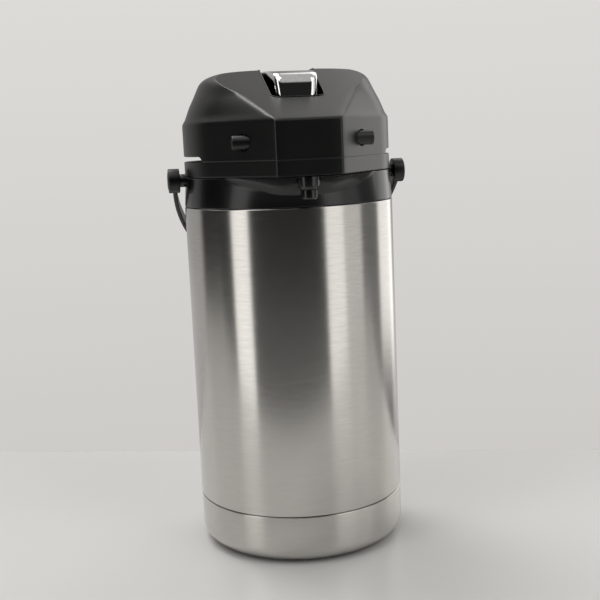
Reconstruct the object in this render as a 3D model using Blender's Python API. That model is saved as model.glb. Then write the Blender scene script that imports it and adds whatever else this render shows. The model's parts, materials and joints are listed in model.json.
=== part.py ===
"""A lever-action thermal airpot, built as separate pieces round its upright axis.

Every dimension here is in millimetres and the scene is in metres. The body's axis is Z, the
table is z = 0 and the spout looks along -Y. "Front distance" means distance along -Y.
"""
import math

import bmesh
import bpy
from mathutils import Matrix, Vector

MM = 0.001
GAP = 0.3

# Body
BODY_R = 87.5
SHEET = 1.0
SEAM_Z = 41.0
STEEL_TOP = 289.0
BASE_CORNER_R = 13.0
PAD_R = 70.0
PAD_TOP = 2.6

BODY_SIDES = 40

# Vacuum liner
LINER_SIDES = 24
LINER_R = 75.0
LINER_WELD_Z = 148.0
NECK_R = 36.9
NECK_TOP = 311.5

# Collar and spout housing
COLLAR_TOP = 313.2
COLLAR_WALL_R = 84.4
DECK_TOP = 309.0
RING_BOTTOM = 313.7
RING_TOP = 326.2
SHELL_R = 86.2
NOSE_FRONT = 108.5
NOSE_HALF = 24.9
CORNER_BEVEL = 1.6
WALL = 2.5
CHIN_DROP = 17.0
CHIN_HALF_ANGLE = 68.0
CHIN_COVE = 0.7
HOUSING_SCREW_R = 66.0
HOUSING_SCREW_ANGLES = (90.0, 210.0, 330.0)

# Lid
LID_BOTTOM = 326.6
REAR_RIM = 330.2
SHOULDER_Z = 355.9
FACET_SLOPE = 0.457
LID_PROFILE = (
    (SHOULDER_Z, SHELL_R),
    (359.4, 83.7),
    (367.0, 80.6),
    (375.0, 76.8),
    (381.8, 73.5),
    (387.5, 70.6),
    (390.8, 67.6),
    (393.6, 62.6),
    (395.6, 55.6),
    (396.7, 44.0),
    (397.3, 24.0),
)
CREASE_TOP_Z = 391.0
CREASE_TOP_HALF = 59.5
PLATE_BOTTOM = 328.3
PLATE_TOP = 331.3
PLATE_R = 72.6
POST_X = 60.0

# Joints
HINGE_Y = 91.0
HINGE_Z = 330.2
LEVER_PIVOT = (52.0, 382.0)
GRIP_FOOT_Z = 364.0
GRIP_FRONT = 66.5
GRIP_FOOT_HALF = 14.4
GRIP_LEAN = 0.11
GRIP_SPREAD = 0.045
LATCH_FRONT = 81.0
BUTTON_R = 5.6
BUTTON_REACH = 54.9
LATCH_Z = 340.0
BAIL_Z = 311.0
BAIL_REST_ANGLE = 42.0

# Spout and coffee path
SPOUT_FRONT = 98.0
PIPE_Z = 318.4
PIPE_R = 4.0
TUBE_FRONT = 26.0
TUBE_R = 4.6

# Bail handle
BAIL_HALF = 97.0
BAIL_REACH = 133.0
STRAP_THICK = 3.5
STRAP_WIDE = 13.0
HUB_R = 10.0
HUB_IN = 91.4
HUB_OUT = 100.2
BOSS_IN = 86.7
BOSS_OUT = 90.6

COLOURS = {
    "brushed_steel": ((0.55, 0.55, 0.54), 0.32, 1.0),
    "bright_steel": ((0.62, 0.62, 0.62), 0.2, 1.0),
    "black_satin": ((0.02, 0.02, 0.021), 0.42, 0.0),
    "black_gloss": ((0.012, 0.012, 0.014), 0.18, 0.0),
    "grey_plastic": ((0.2, 0.2, 0.2), 0.5, 0.0),
    "chrome": ((0.8, 0.8, 0.8), 0.06, 1.0),
    "silicone": ((0.6, 0.6, 0.58), 0.6, 0.0),
    "rubber": ((0.03, 0.03, 0.03), 0.8, 0.0),
}


def clear_scene():
    """Remove every object that the scene starts with."""
    for item in list(bpy.data.objects):
        bpy.data.objects.remove(item, do_unlink=True)


def material(name):
    """Return the named finish, made on first use."""
    if name in bpy.data.materials:
        return bpy.data.materials[name]
    colour, roughness, metallic = COLOURS[name]
    made = bpy.data.materials.new(name)
    made.use_nodes = True
    shader = made.node_tree.nodes["Principled BSDF"]
    shader.inputs["Base Color"].default_value = (*colour, 1.0)
    shader.inputs["Roughness"].default_value = roughness
    shader.inputs["Metallic"].default_value = metallic
    return made


def link(name, bm, finish, parent=None):
    """Turn a bmesh in millimetres into a named object in metres."""
    bmesh.ops.recalc_face_normals(bm, faces=bm.faces)
    bmesh.ops.scale(bm, vec=(MM, MM, MM), verts=bm.verts)
    mesh = bpy.data.meshes.new(name)
    bm.to_mesh(mesh)
    bm.free()
    mesh.shade_smooth()
    mesh.set_sharp_from_angle(angle=math.radians(30))
    item = bpy.data.objects.new(name, mesh)
    bpy.context.collection.objects.link(item)
    item.data.materials.append(material(finish))
    if parent:
        hang(item, parent)
    return item


def hang(item, parent):
    """Parent an object to a joint empty and leave it where it is."""
    item.parent = parent
    item.matrix_parent_inverse = parent.matrix_basis.inverted()


def joint_empty(name, x, y, z, parent=None):
    """Mark a joint axis with an empty."""
    empty = bpy.data.objects.new(name, None)
    empty.location = Vector((x, y, z)) * MM
    bpy.context.collection.objects.link(empty)
    if parent:
        hang(empty, parent)
    return empty


def boolean(target, tools, operation):
    """Cut or join a target with tool shapes that are hidden from the render."""
    bm = bmesh.new()
    for tool in tools:
        piece = bpy.data.meshes.new("tool_piece")
        bmesh.ops.recalc_face_normals(tool, faces=tool.faces)
        tool.to_mesh(piece)
        tool.free()
        bm.from_mesh(piece)
        bpy.data.meshes.remove(piece)
    tool_name = "{}_{}_tool".format(target.name, operation.lower())
    shape = link(tool_name, bm, "rubber")
    shape.hide_render = True
    shape.display_type = "WIRE"
    if target.parent:
        hang(shape, target.parent)
    modifier = target.modifiers.new(operation.title(), "BOOLEAN")
    modifier.operation = operation
    modifier.solver = "EXACT"
    modifier.object = shape


def turned(profile, segments):
    """Turn a closed outline of (radius, height) points round Z. Radius 0 makes a pole."""
    bm = bmesh.new()
    rings = []
    for radius, height in profile:
        if radius == 0:
            rings.append([bm.verts.new((0, 0, height))] * segments)
            continue
        ring = []
        for step in range(segments):
            angle = math.tau * step / segments
            ring.append(bm.verts.new((radius * math.cos(angle), radius * math.sin(angle), height)))
        rings.append(ring)
    for ring, following in zip(rings, rings[1:] + rings[:1]):
        join_rings(bm, ring, following)
    return bm


def join_rings(bm, ring, following):
    """Fill the band between two closed rings of the same number of points."""
    count = len(ring)
    for step in range(count):
        beside = (step + 1) % count
        corners = []
        for vertex in (ring[step], ring[beside], following[beside], following[step]):
            if vertex not in corners:
                corners.append(vertex)
        if len(corners) > 2:
            bm.faces.new(corners)


def moved(bm, x=0.0, y=0.0, z=0.0, turn=None):
    """Turn a shape about its own origin, then shift it."""
    matrix = Matrix.Translation((x, y, z))
    if turn:
        matrix = matrix @ turn
    bmesh.ops.transform(bm, matrix=matrix, verts=bm.verts)
    return bm


ALONG_X = Matrix.Rotation(math.radians(90), 4, "Y")
ALONG_Y = Matrix.Rotation(math.radians(-90), 4, "X")


def rod(radius, start, end, segments=16):
    """A solid round bar along Z."""
    return turned(((0, start), (radius, start), (radius, end), (0, end)), segments)


def rod_x(radius, start, end, y, z, segments=16):
    """A solid round bar along X."""
    return moved(rod(radius, start, end, segments), y=y, z=z, turn=ALONG_X)


def box(x_range, y_range, z_range):
    """A plain block between three pairs of limits."""
    bm = bmesh.new()
    bmesh.ops.create_cube(bm, size=1.0)
    for vertex in bm.verts:
        for axis, limits in enumerate((x_range, y_range, z_range)):
            vertex.co[axis] = limits[1] if vertex.co[axis] > 0 else limits[0]
    return bm


def prism(outline, low, high):
    """Raise a flat outline of (x, y) points into a block."""
    bm = bmesh.new()
    bottom = [bm.verts.new((x, y, low)) for x, y in outline]
    top = [bm.verts.new((x, y, high)) for x, y in outline]
    join_rings(bm, bottom, top)
    bm.faces.new(bottom)
    bm.faces.new(top)
    return bm


def prism_x(outline, low, high):
    """Carry a side outline of (y, z) points across X into a block."""
    bm = bmesh.new()
    first = [bm.verts.new((low, y, z)) for y, z in outline]
    last = [bm.verts.new((high, y, z)) for y, z in outline]
    join_rings(bm, first, last)
    bm.faces.new(first)
    bm.faces.new(last)
    return bm


def arc(centre_a, centre_b, radius, start, end, steps):
    """Points on a round corner, from one angle in degrees to another."""
    points = []
    for step in range(steps + 1):
        angle = math.radians(start + (end - start) * step / steps)
        points.append((centre_a + radius * math.cos(angle), centre_b + radius * math.sin(angle)))
    return points


def circle(radius, sides):
    """A round section with the given number of sides."""
    return arc(0, 0, radius, 0, 360 * (sides - 1) / sides, sides - 1)


def swept(path, up, outer, inner=None):
    """Carry a section along a path. Its second coordinate points along the up direction."""
    bm = bmesh.new()
    up = Vector(up)
    points = [Vector(point) for point in path]
    outer_rings = []
    inner_rings = []
    for index, point in enumerate(points):
        before = points[max(index - 1, 0)]
        after = points[min(index + 1, len(points) - 1)]
        side = (after - before).normalized().cross(up).normalized()
        outer_rings.append([bm.verts.new(point + side * a + up * b) for a, b in outer])
        if inner:
            inner_rings.append([bm.verts.new(point + side * a + up * b) for a, b in inner])
    for rings in (outer_rings, inner_rings):
        for ring, following in zip(rings, rings[1:]):
            join_rings(bm, ring, following)
    for end in (0, -1):
        if inner:
            join_rings(bm, outer_rings[end], inner_rings[end])
        else:
            bm.faces.new(outer_rings[end])
    return bm


def coil(radius, wire, low, high, turns, steps, sides):
    """A round-wire spring that stands on Z."""
    count = turns * steps
    path = []
    for step in range(count + 1):
        angle = math.tau * step / steps
        height = low + (high - low) * step / count
        path.append((radius * math.cos(angle), radius * math.sin(angle), height))
    return swept(path, (0, 0, 1), circle(wire, sides))


def screw(head_r, shank_r, head_low, head_high, tip):
    """A screw on Z with a round socket in its head. The tip may be above or below the head."""
    under, face = (head_high, head_low) if tip > head_high else (head_low, head_high)
    socket_depth = 1.0 if face < under else -1.0
    socket_r = head_r * 0.45
    profile = (
        (0, tip),
        (shank_r, tip),
        (shank_r, under),
        (head_r, under),
        (head_r, face),
        (socket_r, face),
        (socket_r, face + socket_depth),
        (0, face + socket_depth),
    )
    return turned(profile, 12)


# ---------------------------------------------------------------- nosed outline of the top
def nose_outline(radius, half, front):
    """Right half of the outline, front centre to back centre, as (x, front distance).

    It is a circle with a flat front and two flat sides that run from the nose's corners and
    meet the circle as tangents. The corners carry a small bevel.
    """
    reach = math.hypot(half, front)
    corner = math.atan2(half, front)
    tangent = corner + max(math.acos(min(radius / reach, 1.0)), math.radians(3))
    end = Vector((radius * math.sin(tangent), radius * math.cos(tangent)))
    start = Vector((half, front))
    along = (end - start).normalized()
    bevel = min(CORNER_BEVEL, 0.3 * (end - start).length)
    first = start + along * bevel
    points = [Vector((0, front)), Vector((half - bevel, front)), first]
    points += [first.lerp(end, step / 3) for step in (1, 2)]
    steps = 12
    for step in range(steps + 1):
        angle = tangent + (math.pi - tangent) * step / steps
        points.append(Vector((radius * math.sin(angle), radius * math.cos(angle))))
    return points


def full_outline(radius, half, front):
    """The whole outline as (x, y) points, right side first."""
    right = nose_outline(radius, half, front)
    left = [Vector((-point.x, point.y)) for point in right[-2:0:-1]]
    return [(point.x, -point.y) for point in right + left]


def outline_radius(angle_deg):
    """Distance from the axis to the nosed outline, at an angle from the front."""
    angle = math.radians(abs(angle_deg))
    corner = math.atan2(NOSE_HALF, NOSE_FRONT)
    tangent = corner + math.acos(SHELL_R / math.hypot(NOSE_HALF, NOSE_FRONT))
    if angle < corner:
        return NOSE_FRONT / math.cos(angle)
    if angle < tangent:
        return SHELL_R / math.cos(tangent - angle)
    return SHELL_R


def inset_nose(radius, half, front, inset):
    """The same nosed outline moved inwards by a wall's thickness."""
    return radius - inset, half - 0.49 * inset, front - inset


# ---------------------------------------------------------------- body pieces
def make_foot_pad():
    """Round non-slip pad that the pot stands on, with a flat face on the table."""
    profile = ((0, 0), (PAD_R - 1, 0), (PAD_R, 1), (PAD_R, PAD_TOP), (0, PAD_TOP))
    link("foot_pad", turned(profile, BODY_SIDES), "rubber")


def make_base_cup():
    """Steel cup with a round corner that closes the bottom of the body."""
    outer_r = BODY_R - 0.1
    low = 1.2
    recess = PAD_TOP + GAP
    floor = recess + 1.4
    inner_r = outer_r - 1.4
    inner_corner = BASE_CORNER_R - 1.4
    outside = arc(outer_r - BASE_CORNER_R, low + BASE_CORNER_R, BASE_CORNER_R, 0, -90, 4)
    inside = arc(inner_r - inner_corner, floor + inner_corner, inner_corner, -90, 0, 3)
    profile = [(outer_r, SEAM_Z - 1.1), (outer_r, low + BASE_CORNER_R)] + outside[1:]
    profile += [(PAD_R + 0.5, low), (PAD_R + 0.5, recess), (0, recess), (0, floor)]
    profile += inside + [(inner_r, SEAM_Z - GAP), (outer_r - 0.8, SEAM_Z - GAP)]
    link("base_cup", turned(profile, BODY_SIDES), "brushed_steel")


def make_outer_shell():
    """Brushed steel casing with a stepped skirt that plugs into the base cup."""
    skirt_r = BODY_R - 1.9
    profile = (
        (skirt_r - SHEET, 30.0),
        (skirt_r, 30.0),
        (skirt_r, SEAM_Z + 0.2),
        (BODY_R - 0.8, SEAM_Z + 0.2),
        (BODY_R, SEAM_Z + 1.0),
        (BODY_R, STEEL_TOP - 0.6),
        (BODY_R - 0.6, STEEL_TOP),
        (83.2, STEEL_TOP),
        (83.2, STEEL_TOP - SHEET),
        (BODY_R - SHEET, STEEL_TOP - SHEET - 0.6),
        (BODY_R - SHEET, SEAM_Z + 2.2),
        (skirt_r - SHEET, SEAM_Z + 1.2),
    )
    link("outer_shell", turned(profile, BODY_SIDES), "brushed_steel")


def make_inner_liner():
    """Stainless vacuum liner: a drawn cup, with the shoulder and the neck welded on above."""
    wall = 0.9
    bottom_r = 22.0
    bottom_z = 34.4
    shoulder_r = 26.0
    shoulder_z = 262.0
    cup = [(0, 11.0), (40.0, 12.4)]
    cup += arc(LINER_R - bottom_r, bottom_z, bottom_r, -75, 0, 3)
    cup += [(LINER_R, LINER_WELD_Z), (LINER_R - wall, LINER_WELD_Z)]
    cup += arc(LINER_R - bottom_r, bottom_z, bottom_r - wall, 0, -75, 3)
    cup += [(40.0, 12.4 + wall), (0, 11.0 + wall)]
    link("liner_cup", turned(cup, LINER_SIDES), "bright_steel")
    top = [(LINER_R, LINER_WELD_Z + GAP)]
    top += arc(LINER_R - shoulder_r, shoulder_z, shoulder_r, 0, 62, 3)
    top += [(NECK_R + 3, 293.5), (NECK_R, 297.0), (NECK_R, NECK_TOP)]
    top += [(NECK_R - wall, NECK_TOP), (NECK_R - wall, 296.0), (NECK_R + 2.4, 292.3)]
    top += arc(LINER_R - shoulder_r, shoulder_z, shoulder_r - wall, 62, 0, 3)
    top += [(LINER_R - wall, LINER_WELD_Z + GAP)]
    link("liner_shoulder", turned(top, LINER_SIDES), "bright_steel")


def collar_outer_r(height):
    """Outer radius of the collar's wall, which tapers towards its top."""
    share = (height - STEEL_TOP - GAP) / (COLLAR_TOP - STEEL_TOP - GAP)
    return BODY_R - 0.1 - 1.7 * share


def chin_shape():
    """Bracket under the nose: a sloping, slightly hollow face between ring and collar."""
    steps = 12
    bm = bmesh.new()
    sections = []
    for step in range(steps + 1):
        angle_deg = CHIN_HALF_ANGLE * (2 * step / steps - 1)
        angle = math.radians(angle_deg)
        share = math.sin(angle) / math.sin(math.radians(CHIN_HALF_ANGLE + 2))
        low = COLLAR_TOP - CHIN_DROP * (1 - share * share)
        top_r = outline_radius(angle_deg) - 1.0
        low_r = collar_outer_r(low) - 0.6
        points = [(83.6, COLLAR_TOP), (top_r, COLLAR_TOP)]
        for part in (1, 2):
            turn = math.radians(30.0 * part)
            inward = CHIN_COVE * math.sin(turn) + (1 - CHIN_COVE) * part / 3
            down = CHIN_COVE * (1 - math.cos(turn)) + (1 - CHIN_COVE) * part / 3
            points.append((top_r - (top_r - low_r) * inward, COLLAR_TOP - (COLLAR_TOP - low) * down))
        points += [(low_r, low), (84.2, low)]
        ring = []
        for radius, height in points:
            ring.append(bm.verts.new((radius * math.sin(angle), -radius * math.cos(angle), height)))
        sections.append(ring)
    for ring, following in zip(sections, sections[1:]):
        join_rings(bm, ring, following)
    bm.faces.new(sections[0])
    bm.faces.new(sections[-1])
    return bm


def screw_place(angle_deg):
    """Centre of a housing screw on its circle."""
    angle = math.radians(angle_deg)
    return HOUSING_SCREW_R * math.cos(angle), HOUSING_SCREW_R * math.sin(angle)


def make_collar():
    """Gloss black band on the steel that carries the bail pivots, the neck and the spout."""
    low = STEEL_TOP + GAP
    wall = 3.0
    profile = (
        (COLLAR_WALL_R, low),
        (BODY_R - 0.6, low),
        (BODY_R - 0.1, low + 0.5),
        (collar_outer_r(COLLAR_TOP) + 0.05, COLLAR_TOP - 0.6),
        (collar_outer_r(COLLAR_TOP) - 0.6, COLLAR_TOP),
        (collar_outer_r(COLLAR_TOP) - wall, COLLAR_TOP),
        (collar_outer_r(COLLAR_TOP) - wall, DECK_TOP),
        (NECK_R + 2.6, DECK_TOP),
        (NECK_R + 2.6, DECK_TOP - wall),
        (COLLAR_WALL_R - 1.5, DECK_TOP - wall),
    )
    collar = link("collar", turned(profile, BODY_SIDES), "black_gloss")
    roots = [box((84.0, 87.2), (-4.5, 4.5), (305.8, COLLAR_TOP - 0.1)),
             box((-87.2, -84.0), (-4.5, 4.5), (305.8, COLLAR_TOP - 0.1))]
    boolean(collar, [chin_shape()] + roots, "UNION")
    bosses = [rod_x(5.4, BOSS_IN, BOSS_OUT, 0, BAIL_Z), rod_x(5.4, -BOSS_OUT, -BOSS_IN, 0, BAIL_Z)]
    boolean_single(collar, bosses[0], "UNION", "right_boss")
    boolean_single(collar, bosses[1], "UNION", "left_boss")
    cuts = [moved(rod(9.1, 290.5, 316.0, 24), y=-SPOUT_FRONT)]
    cuts += [rod_x(3.8, 87.6, 95.0, 0, BAIL_Z), rod_x(3.8, -95.0, -87.6, 0, BAIL_Z)]
    for angle in HOUSING_SCREW_ANGLES:
        x, y = screw_place(angle)
        cuts.append(moved(rod(1.8, 300.0, 312.0, 12), x, y))
    boolean(collar, cuts, "DIFFERENCE")


def make_neck():
    """Neck gasket, and the mouth ring that the lid's gasket seals on."""
    gasket = (
        (NECK_R + 0.4, DECK_TOP - 3.5),
        (NECK_R + 2.3, DECK_TOP - 3.5),
        (NECK_R + 2.3, DECK_TOP),
        (NECK_R + 0.4, DECK_TOP),
    )
    link("neck_gasket", turned(gasket, LINER_SIDES), "silicone")
    mouth = (
        (NECK_R + 0.5, DECK_TOP + 0.4),
        (48.0, DECK_TOP + 0.4),
        (48.0, 312.5),
        (45.0, 313.5),
        (45.0, 325.0),
        (44.5, 325.5),
        (39.0, 325.5),
        (36.5, 322.5),
        (36.5, NECK_TOP + 0.4),
        (NECK_R + 0.5, NECK_TOP + 0.4),
    )
    ring = link("mouth_ring", turned(mouth, LINER_SIDES), "grey_plastic")
    hole = moved(rod(PIPE_R + 0.4, 30.0, 50.0, 16), z=PIPE_Z, turn=ALONG_Y.inverted())
    boolean(ring, [hole], "DIFFERENCE")


def make_spout_housing():
    """Lower ring with the nose: the fixed shoulder that the lid closes on."""
    deck = 3.0
    outer = full_outline(SHELL_R, NOSE_HALF, NOSE_FRONT)
    inner = full_outline(*inset_nose(SHELL_R, NOSE_HALF, NOSE_FRONT, WALL))
    hole = []
    for x, y in outer:
        length = math.hypot(x, y)
        hole.append((52.0 * x / length, 52.0 * y / length))
    bm = bmesh.new()
    levels = (
        (outer, RING_BOTTOM),
        (outer, RING_TOP),
        (hole, RING_TOP),
        (hole, RING_TOP - deck),
        (inner, RING_TOP - deck),
        (inner, RING_BOTTOM),
    )
    rings = [[bm.verts.new((x, y, z)) for x, y in outline] for outline, z in levels]
    for ring, following in zip(rings, rings[1:] + rings[:1]):
        join_rings(bm, ring, following)
    housing = link("spout_housing", bm, "black_satin")
    posts = []
    cuts = []
    for angle in HOUSING_SCREW_ANGLES:
        x, y = screw_place(angle)
        posts.append(moved(rod(5.0, DECK_TOP + 0.4, RING_TOP - 1.5, 12), x, y))
        cuts.append(moved(stepped_hole(1.8, 3.6, 305.0, RING_TOP - 1.8, 330.0), x, y))
    for side in (-1, 1):
        near = min(12.0 * side, 20.0 * side)
        ears = [(81.0, 317.0), (94.4, 317.0)]
        ears += arc(HINGE_Y, HINGE_Z, 4.6, 0, 180, 8)
        ears += [(86.6, 324.3), (81.0, 324.3)]
        posts.append(prism_x(ears, near, near + 8.0))
        cuts.append(rod_x(1.9, near - 2, near + 10, HINGE_Y, HINGE_Z, 12))
    boolean(housing, posts, "UNION")
    boolean(housing, cuts, "DIFFERENCE")


def stepped_hole(shank_r, head_r, low, step, high):
    """Cutter for a screw hole with a wider seat for the head."""
    profile = ((0, low), (shank_r, low), (shank_r, step), (head_r, step), (head_r, high), (0, high))
    return turned(profile, 12)


def boolean_single(target, tool, operation, index):
    """Apply one tool of several that touch or overlap each other."""
    boolean(target, [tool], operation)
    bpy.data.objects["{}_{}_tool".format(target.name, operation.lower())].name = (
        "{}_{}_tool_{}".format(target.name, operation.lower(), index)
    )


def make_spout():
    """Nozzle and tip under the nose, and the pipe that feeds them."""
    nozzle = (
        (PIPE_R + 0.8, 303.4),
        (6.8, 303.4),
        (8.2, 305.6),
        (8.7, 313.3),
        (7.4, 313.3),
        (7.4, 314.1),
        (PIPE_R + 1.2, 314.1),
    )
    link("spout_nozzle", moved(turned(nozzle, 24), y=-SPOUT_FRONT), "black_gloss")
    tip = (
        (3.4, 296.0),
        (5.4, 296.0),
        (6.4, 297.2),
        (6.4, 303.1),
        (4.2, 303.1),
        (4.2, 306.0),
        (3.4, 306.0),
    )
    link("spout_tip", moved(turned(tip, 20), y=-SPOUT_FRONT), "black_gloss")
    bend = 5.0
    path = [(0, -TUBE_FRONT, 310.6)]
    path += [(0, -TUBE_FRONT - bend + a, PIPE_Z - bend + b) for a, b in arc(0, 0, bend, 0, 90, 3)]
    path += [(0, -SPOUT_FRONT + bend - a, PIPE_Z - bend + b)
             for a, b in arc(0, 0, bend, 90, 0, 3)]
    path += [(0, -SPOUT_FRONT, 309.2)]
    section = circle(PIPE_R, 10)
    bore = circle(PIPE_R - 1.0, 10)
    link("delivery_pipe", swept(path, (1, 0, 0), section, bore), "grey_plastic")


def make_siphon():
    """Siphon tube down to the liner's floor, and the sleeve that joins it to the pipe."""
    tube = ((TUBE_R - 1, 20.0), (TUBE_R, 20.0), (TUBE_R, 310.2), (TUBE_R - 1, 310.2))
    link("siphon_tube", moved(turned(tube, 16), y=-TUBE_FRONT), "bright_steel")
    sleeve = ((4.95, 304.5), (6.6, 304.5), (6.6, 313.0), (4.95, 313.0))
    link("siphon_seal", moved(turned(sleeve, 16), y=-TUBE_FRONT), "silicone")


def make_root_fasteners():
    """Pins for the bail and the lid hinge, and the screws that hold the housing."""
    link("hinge_pin", rod_x(1.6, -20.6, 20.6, HINGE_Y, HINGE_Z, 12), "bright_steel")
    link("bail_pin_left", rod_x(3.5, -98.4, -87.9, 0, BAIL_Z), "bright_steel")
    link("bail_pin_right", rod_x(3.5, 87.9, 98.4, 0, BAIL_Z), "bright_steel")
    for index, angle in enumerate(HOUSING_SCREW_ANGLES):
        x, y = screw_place(angle)
        shape = screw(3.2, 1.5, RING_TOP - 1.5, RING_TOP + 0.2, 304.5)
        link("housing_screw_{}".format(index + 1), moved(shape, x, y), "bright_steel")


# ---------------------------------------------------------------- lid pieces
def lid_level(height, radius):
    """Nosed outline of the lid at a height: radius, corner half width and front distance."""
    front = NOSE_FRONT - (height - SHOULDER_Z) / FACET_SLOPE
    share = (height - SHOULDER_Z) / (CREASE_TOP_Z - SHOULDER_Z)
    half = NOSE_HALF + share * (CREASE_TOP_HALF - NOSE_HALF)
    if height > CREASE_TOP_Z or math.hypot(half, front) < radius:
        half = math.sqrt(radius * radius - front * front)
    return radius, half, front


def rim_height(x, y):
    """Height of the lid's lower edge, which steps up round the back."""
    angle = math.degrees(math.atan2(abs(x), -y))
    return REAR_RIM if angle > 60 else LID_BOTTOM


def lid_rings(bm, inset):
    """Rings of the lid's outer skin, or of its inner skin when an inset is given."""
    base = inset_nose(SHELL_R, NOSE_HALF, NOSE_FRONT, inset)
    rings = [[bm.verts.new((x, y, rim_height(x, y))) for x, y in full_outline(*base)]]
    for height, radius in LID_PROFILE:
        level = inset_nose(*lid_level(height, radius), inset)
        outline = full_outline(*level)
        rings.append([bm.verts.new((x, y, height - inset)) for x, y in outline])
    for ring, following in zip(rings, rings[1:]):
        join_rings(bm, ring, following)
    bm.faces.new(rings[-1])
    return rings


def slot_outline():
    """Plan of the lever's slot: narrower at the front, with round front corners."""
    front = 70.0
    back = 18.0
    half_front = 20.6
    half_back = 23.0
    corner = 5.0
    right = [(half_back, back)]
    right += [(half_front - corner + a, -front + corner - b)
              for a, b in arc(0, 0, corner, 0, 90, 3)]
    left = [(-x, y) for x, y in reversed(right)]
    return right + left


def make_lid_shell(lid):
    """Upper shell with the nose, the sloping front, the lever slot and the latch holes."""
    bm = bmesh.new()
    outer = lid_rings(bm, 0.0)
    inner = lid_rings(bm, WALL)
    join_rings(bm, outer[0], inner[0])
    shell = link("lid_shell", bm, "black_satin", lid)
    pivot_y, pivot_z = LEVER_PIVOT
    added = []
    cuts = [prism(slot_outline(), 358.0, 402.0)]
    cuts.append(rod_x(BUTTON_R + 1.0, -62.0, 62.0, -LATCH_FRONT, LATCH_Z, 20))
    for side in (-1, 1):
        added.append(moved(rod(4.5, PLATE_TOP + 0.4, 391.0, 12), x=side * POST_X))
        near = min(17.0 * side, 22.0 * side)
        added.append(box((near, near + 5.0), (pivot_y - 8.0, pivot_y + 3.4), (376.0, 394.3)))
        cuts.append(moved(rod(1.8, 325.0, 345.0, 12), x=side * POST_X))
    added.append(box((-11.4, 11.4), (83.2, HINGE_Y), (REAR_RIM + 0.6, HINGE_Z + 4.5)))
    boolean(shell, added, "UNION")
    knuckle = rod_x(4.6, -11.5, 11.5, HINGE_Y, HINGE_Z)
    boolean_single(shell, knuckle, "UNION", "knuckle")
    cuts.append(rod_x(2.8, -25.0, 25.0, pivot_y, pivot_z, 12))
    cuts.append(rod_x(1.9, -14.0, 14.0, HINGE_Y, HINGE_Z, 12))
    boolean(shell, cuts, "DIFFERENCE")


def make_lid_base(lid):
    """Plate that closes the lid from below, with its gasket and its two screws."""
    profile = (
        (10.0, PLATE_BOTTOM),
        (PLATE_R - 0.6, PLATE_BOTTOM),
        (PLATE_R, PLATE_BOTTOM + 0.6),
        (PLATE_R, PLATE_TOP),
        (50.0, PLATE_TOP),
        (50.0, PLATE_TOP + 5.0),
        (48.0, PLATE_TOP + 5.0),
        (48.0, PLATE_TOP),
        (10.0, PLATE_TOP),
    )
    plate = link("lid_base_plate", turned(profile, 32), "grey_plastic", lid)
    cuts = []
    for index, side in enumerate((-1, 1)):
        name = ("lid_screw_left", "lid_screw_right")[index]
        shape = screw(3.2, 1.5, PLATE_BOTTOM + 0.1, PLATE_BOTTOM + 1.4, 343.0)
        link(name, moved(shape, x=side * POST_X), "bright_steel", lid)
        cuts.append(moved(stepped_hole(1.9, 3.6, 333.0, PLATE_BOTTOM + 1.7, 327.0), x=side * POST_X))
    boolean(plate, cuts, "DIFFERENCE")
    gasket = ((38.6, 325.8), (44.4, 325.8), (44.4, 327.2), (43.4, 328.0), (39.6, 328.0),
              (38.6, 327.2))
    link("lid_gasket", turned(gasket, LINER_SIDES), "silicone", lid)


def make_bellows(lid):
    """Pleated air bellows and its return spring, between the plate and the pump disc."""
    low = PLATE_TOP + GAP
    high = 367.9
    pleats = 4
    thickness = 1.3
    outside = []
    for step in range(2 * pleats + 1):
        radius = 46.0 if step % 2 else 40.0
        outside.append((radius, low + (high - low) * step / (2 * pleats)))
    inside = [(radius - thickness, height) for radius, height in reversed(outside)]
    link("bellows", turned(outside + inside, 20), "silicone", lid)
    link("bellows_spring", coil(22.0, 0.9, low + 1.0, high - 1.0, 4, 12, 5), "bright_steel", lid)


def make_lid_hardware(lid):
    """Lever pivot pin and the spring between the two latch buttons."""
    pivot_y, pivot_z = LEVER_PIVOT
    link("lever_pin", rod_x(2.5, -22.4, 22.4, pivot_y, pivot_z, 12), "bright_steel", lid)
    spring = coil(2.9, 0.45, -24.6, 24.6, 7, 8, 4)
    moved(spring, y=-LATCH_FRONT, z=LATCH_Z, turn=ALONG_X)
    link("latch_spring", spring, "bright_steel", lid)


def make_pusher(pusher):
    """Disc that presses the bellows, with its post, and the air intake flap."""
    disc = ((0, 368.3), (39.4, 368.3), (40.0, 368.9), (40.0, 371.3), (6.0, 371.3),
            (6.0, 376.2), (5.3, 376.9), (0, 376.9))
    link("pump_disc", turned(disc, 32), "grey_plastic", pusher)
    flap = ((7.0, 371.6), (16.0, 371.6), (16.0, 372.4), (7.0, 372.6))
    link("intake_flap", turned(flap, 24), "silicone", pusher)


def grip_profile():
    """Side outline of the chrome grip as (front distance, height), front edge rounded."""
    points = [(-15.0, 386.5), (-15.0, 395.2), (-14.0, 396.2), (12.0, 396.2), (36.0, 394.7)]
    points += arc(50.5, 376.9, 16.0, 84, 4, 6)
    points += [(GRIP_FRONT, GRIP_FOOT_Z), (62.8, GRIP_FOOT_Z), (62.6, 376.0), (60.0, 382.5)]
    points += [(54.0, 386.5)]
    return points


def grip_half_width(front, height):
    """The grip's sides lean inwards towards its foot and spread towards its back."""
    lean = (height - GRIP_FOOT_Z) * GRIP_LEAN
    return GRIP_FOOT_HALF + lean + (GRIP_FRONT - front) * GRIP_SPREAD


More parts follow.
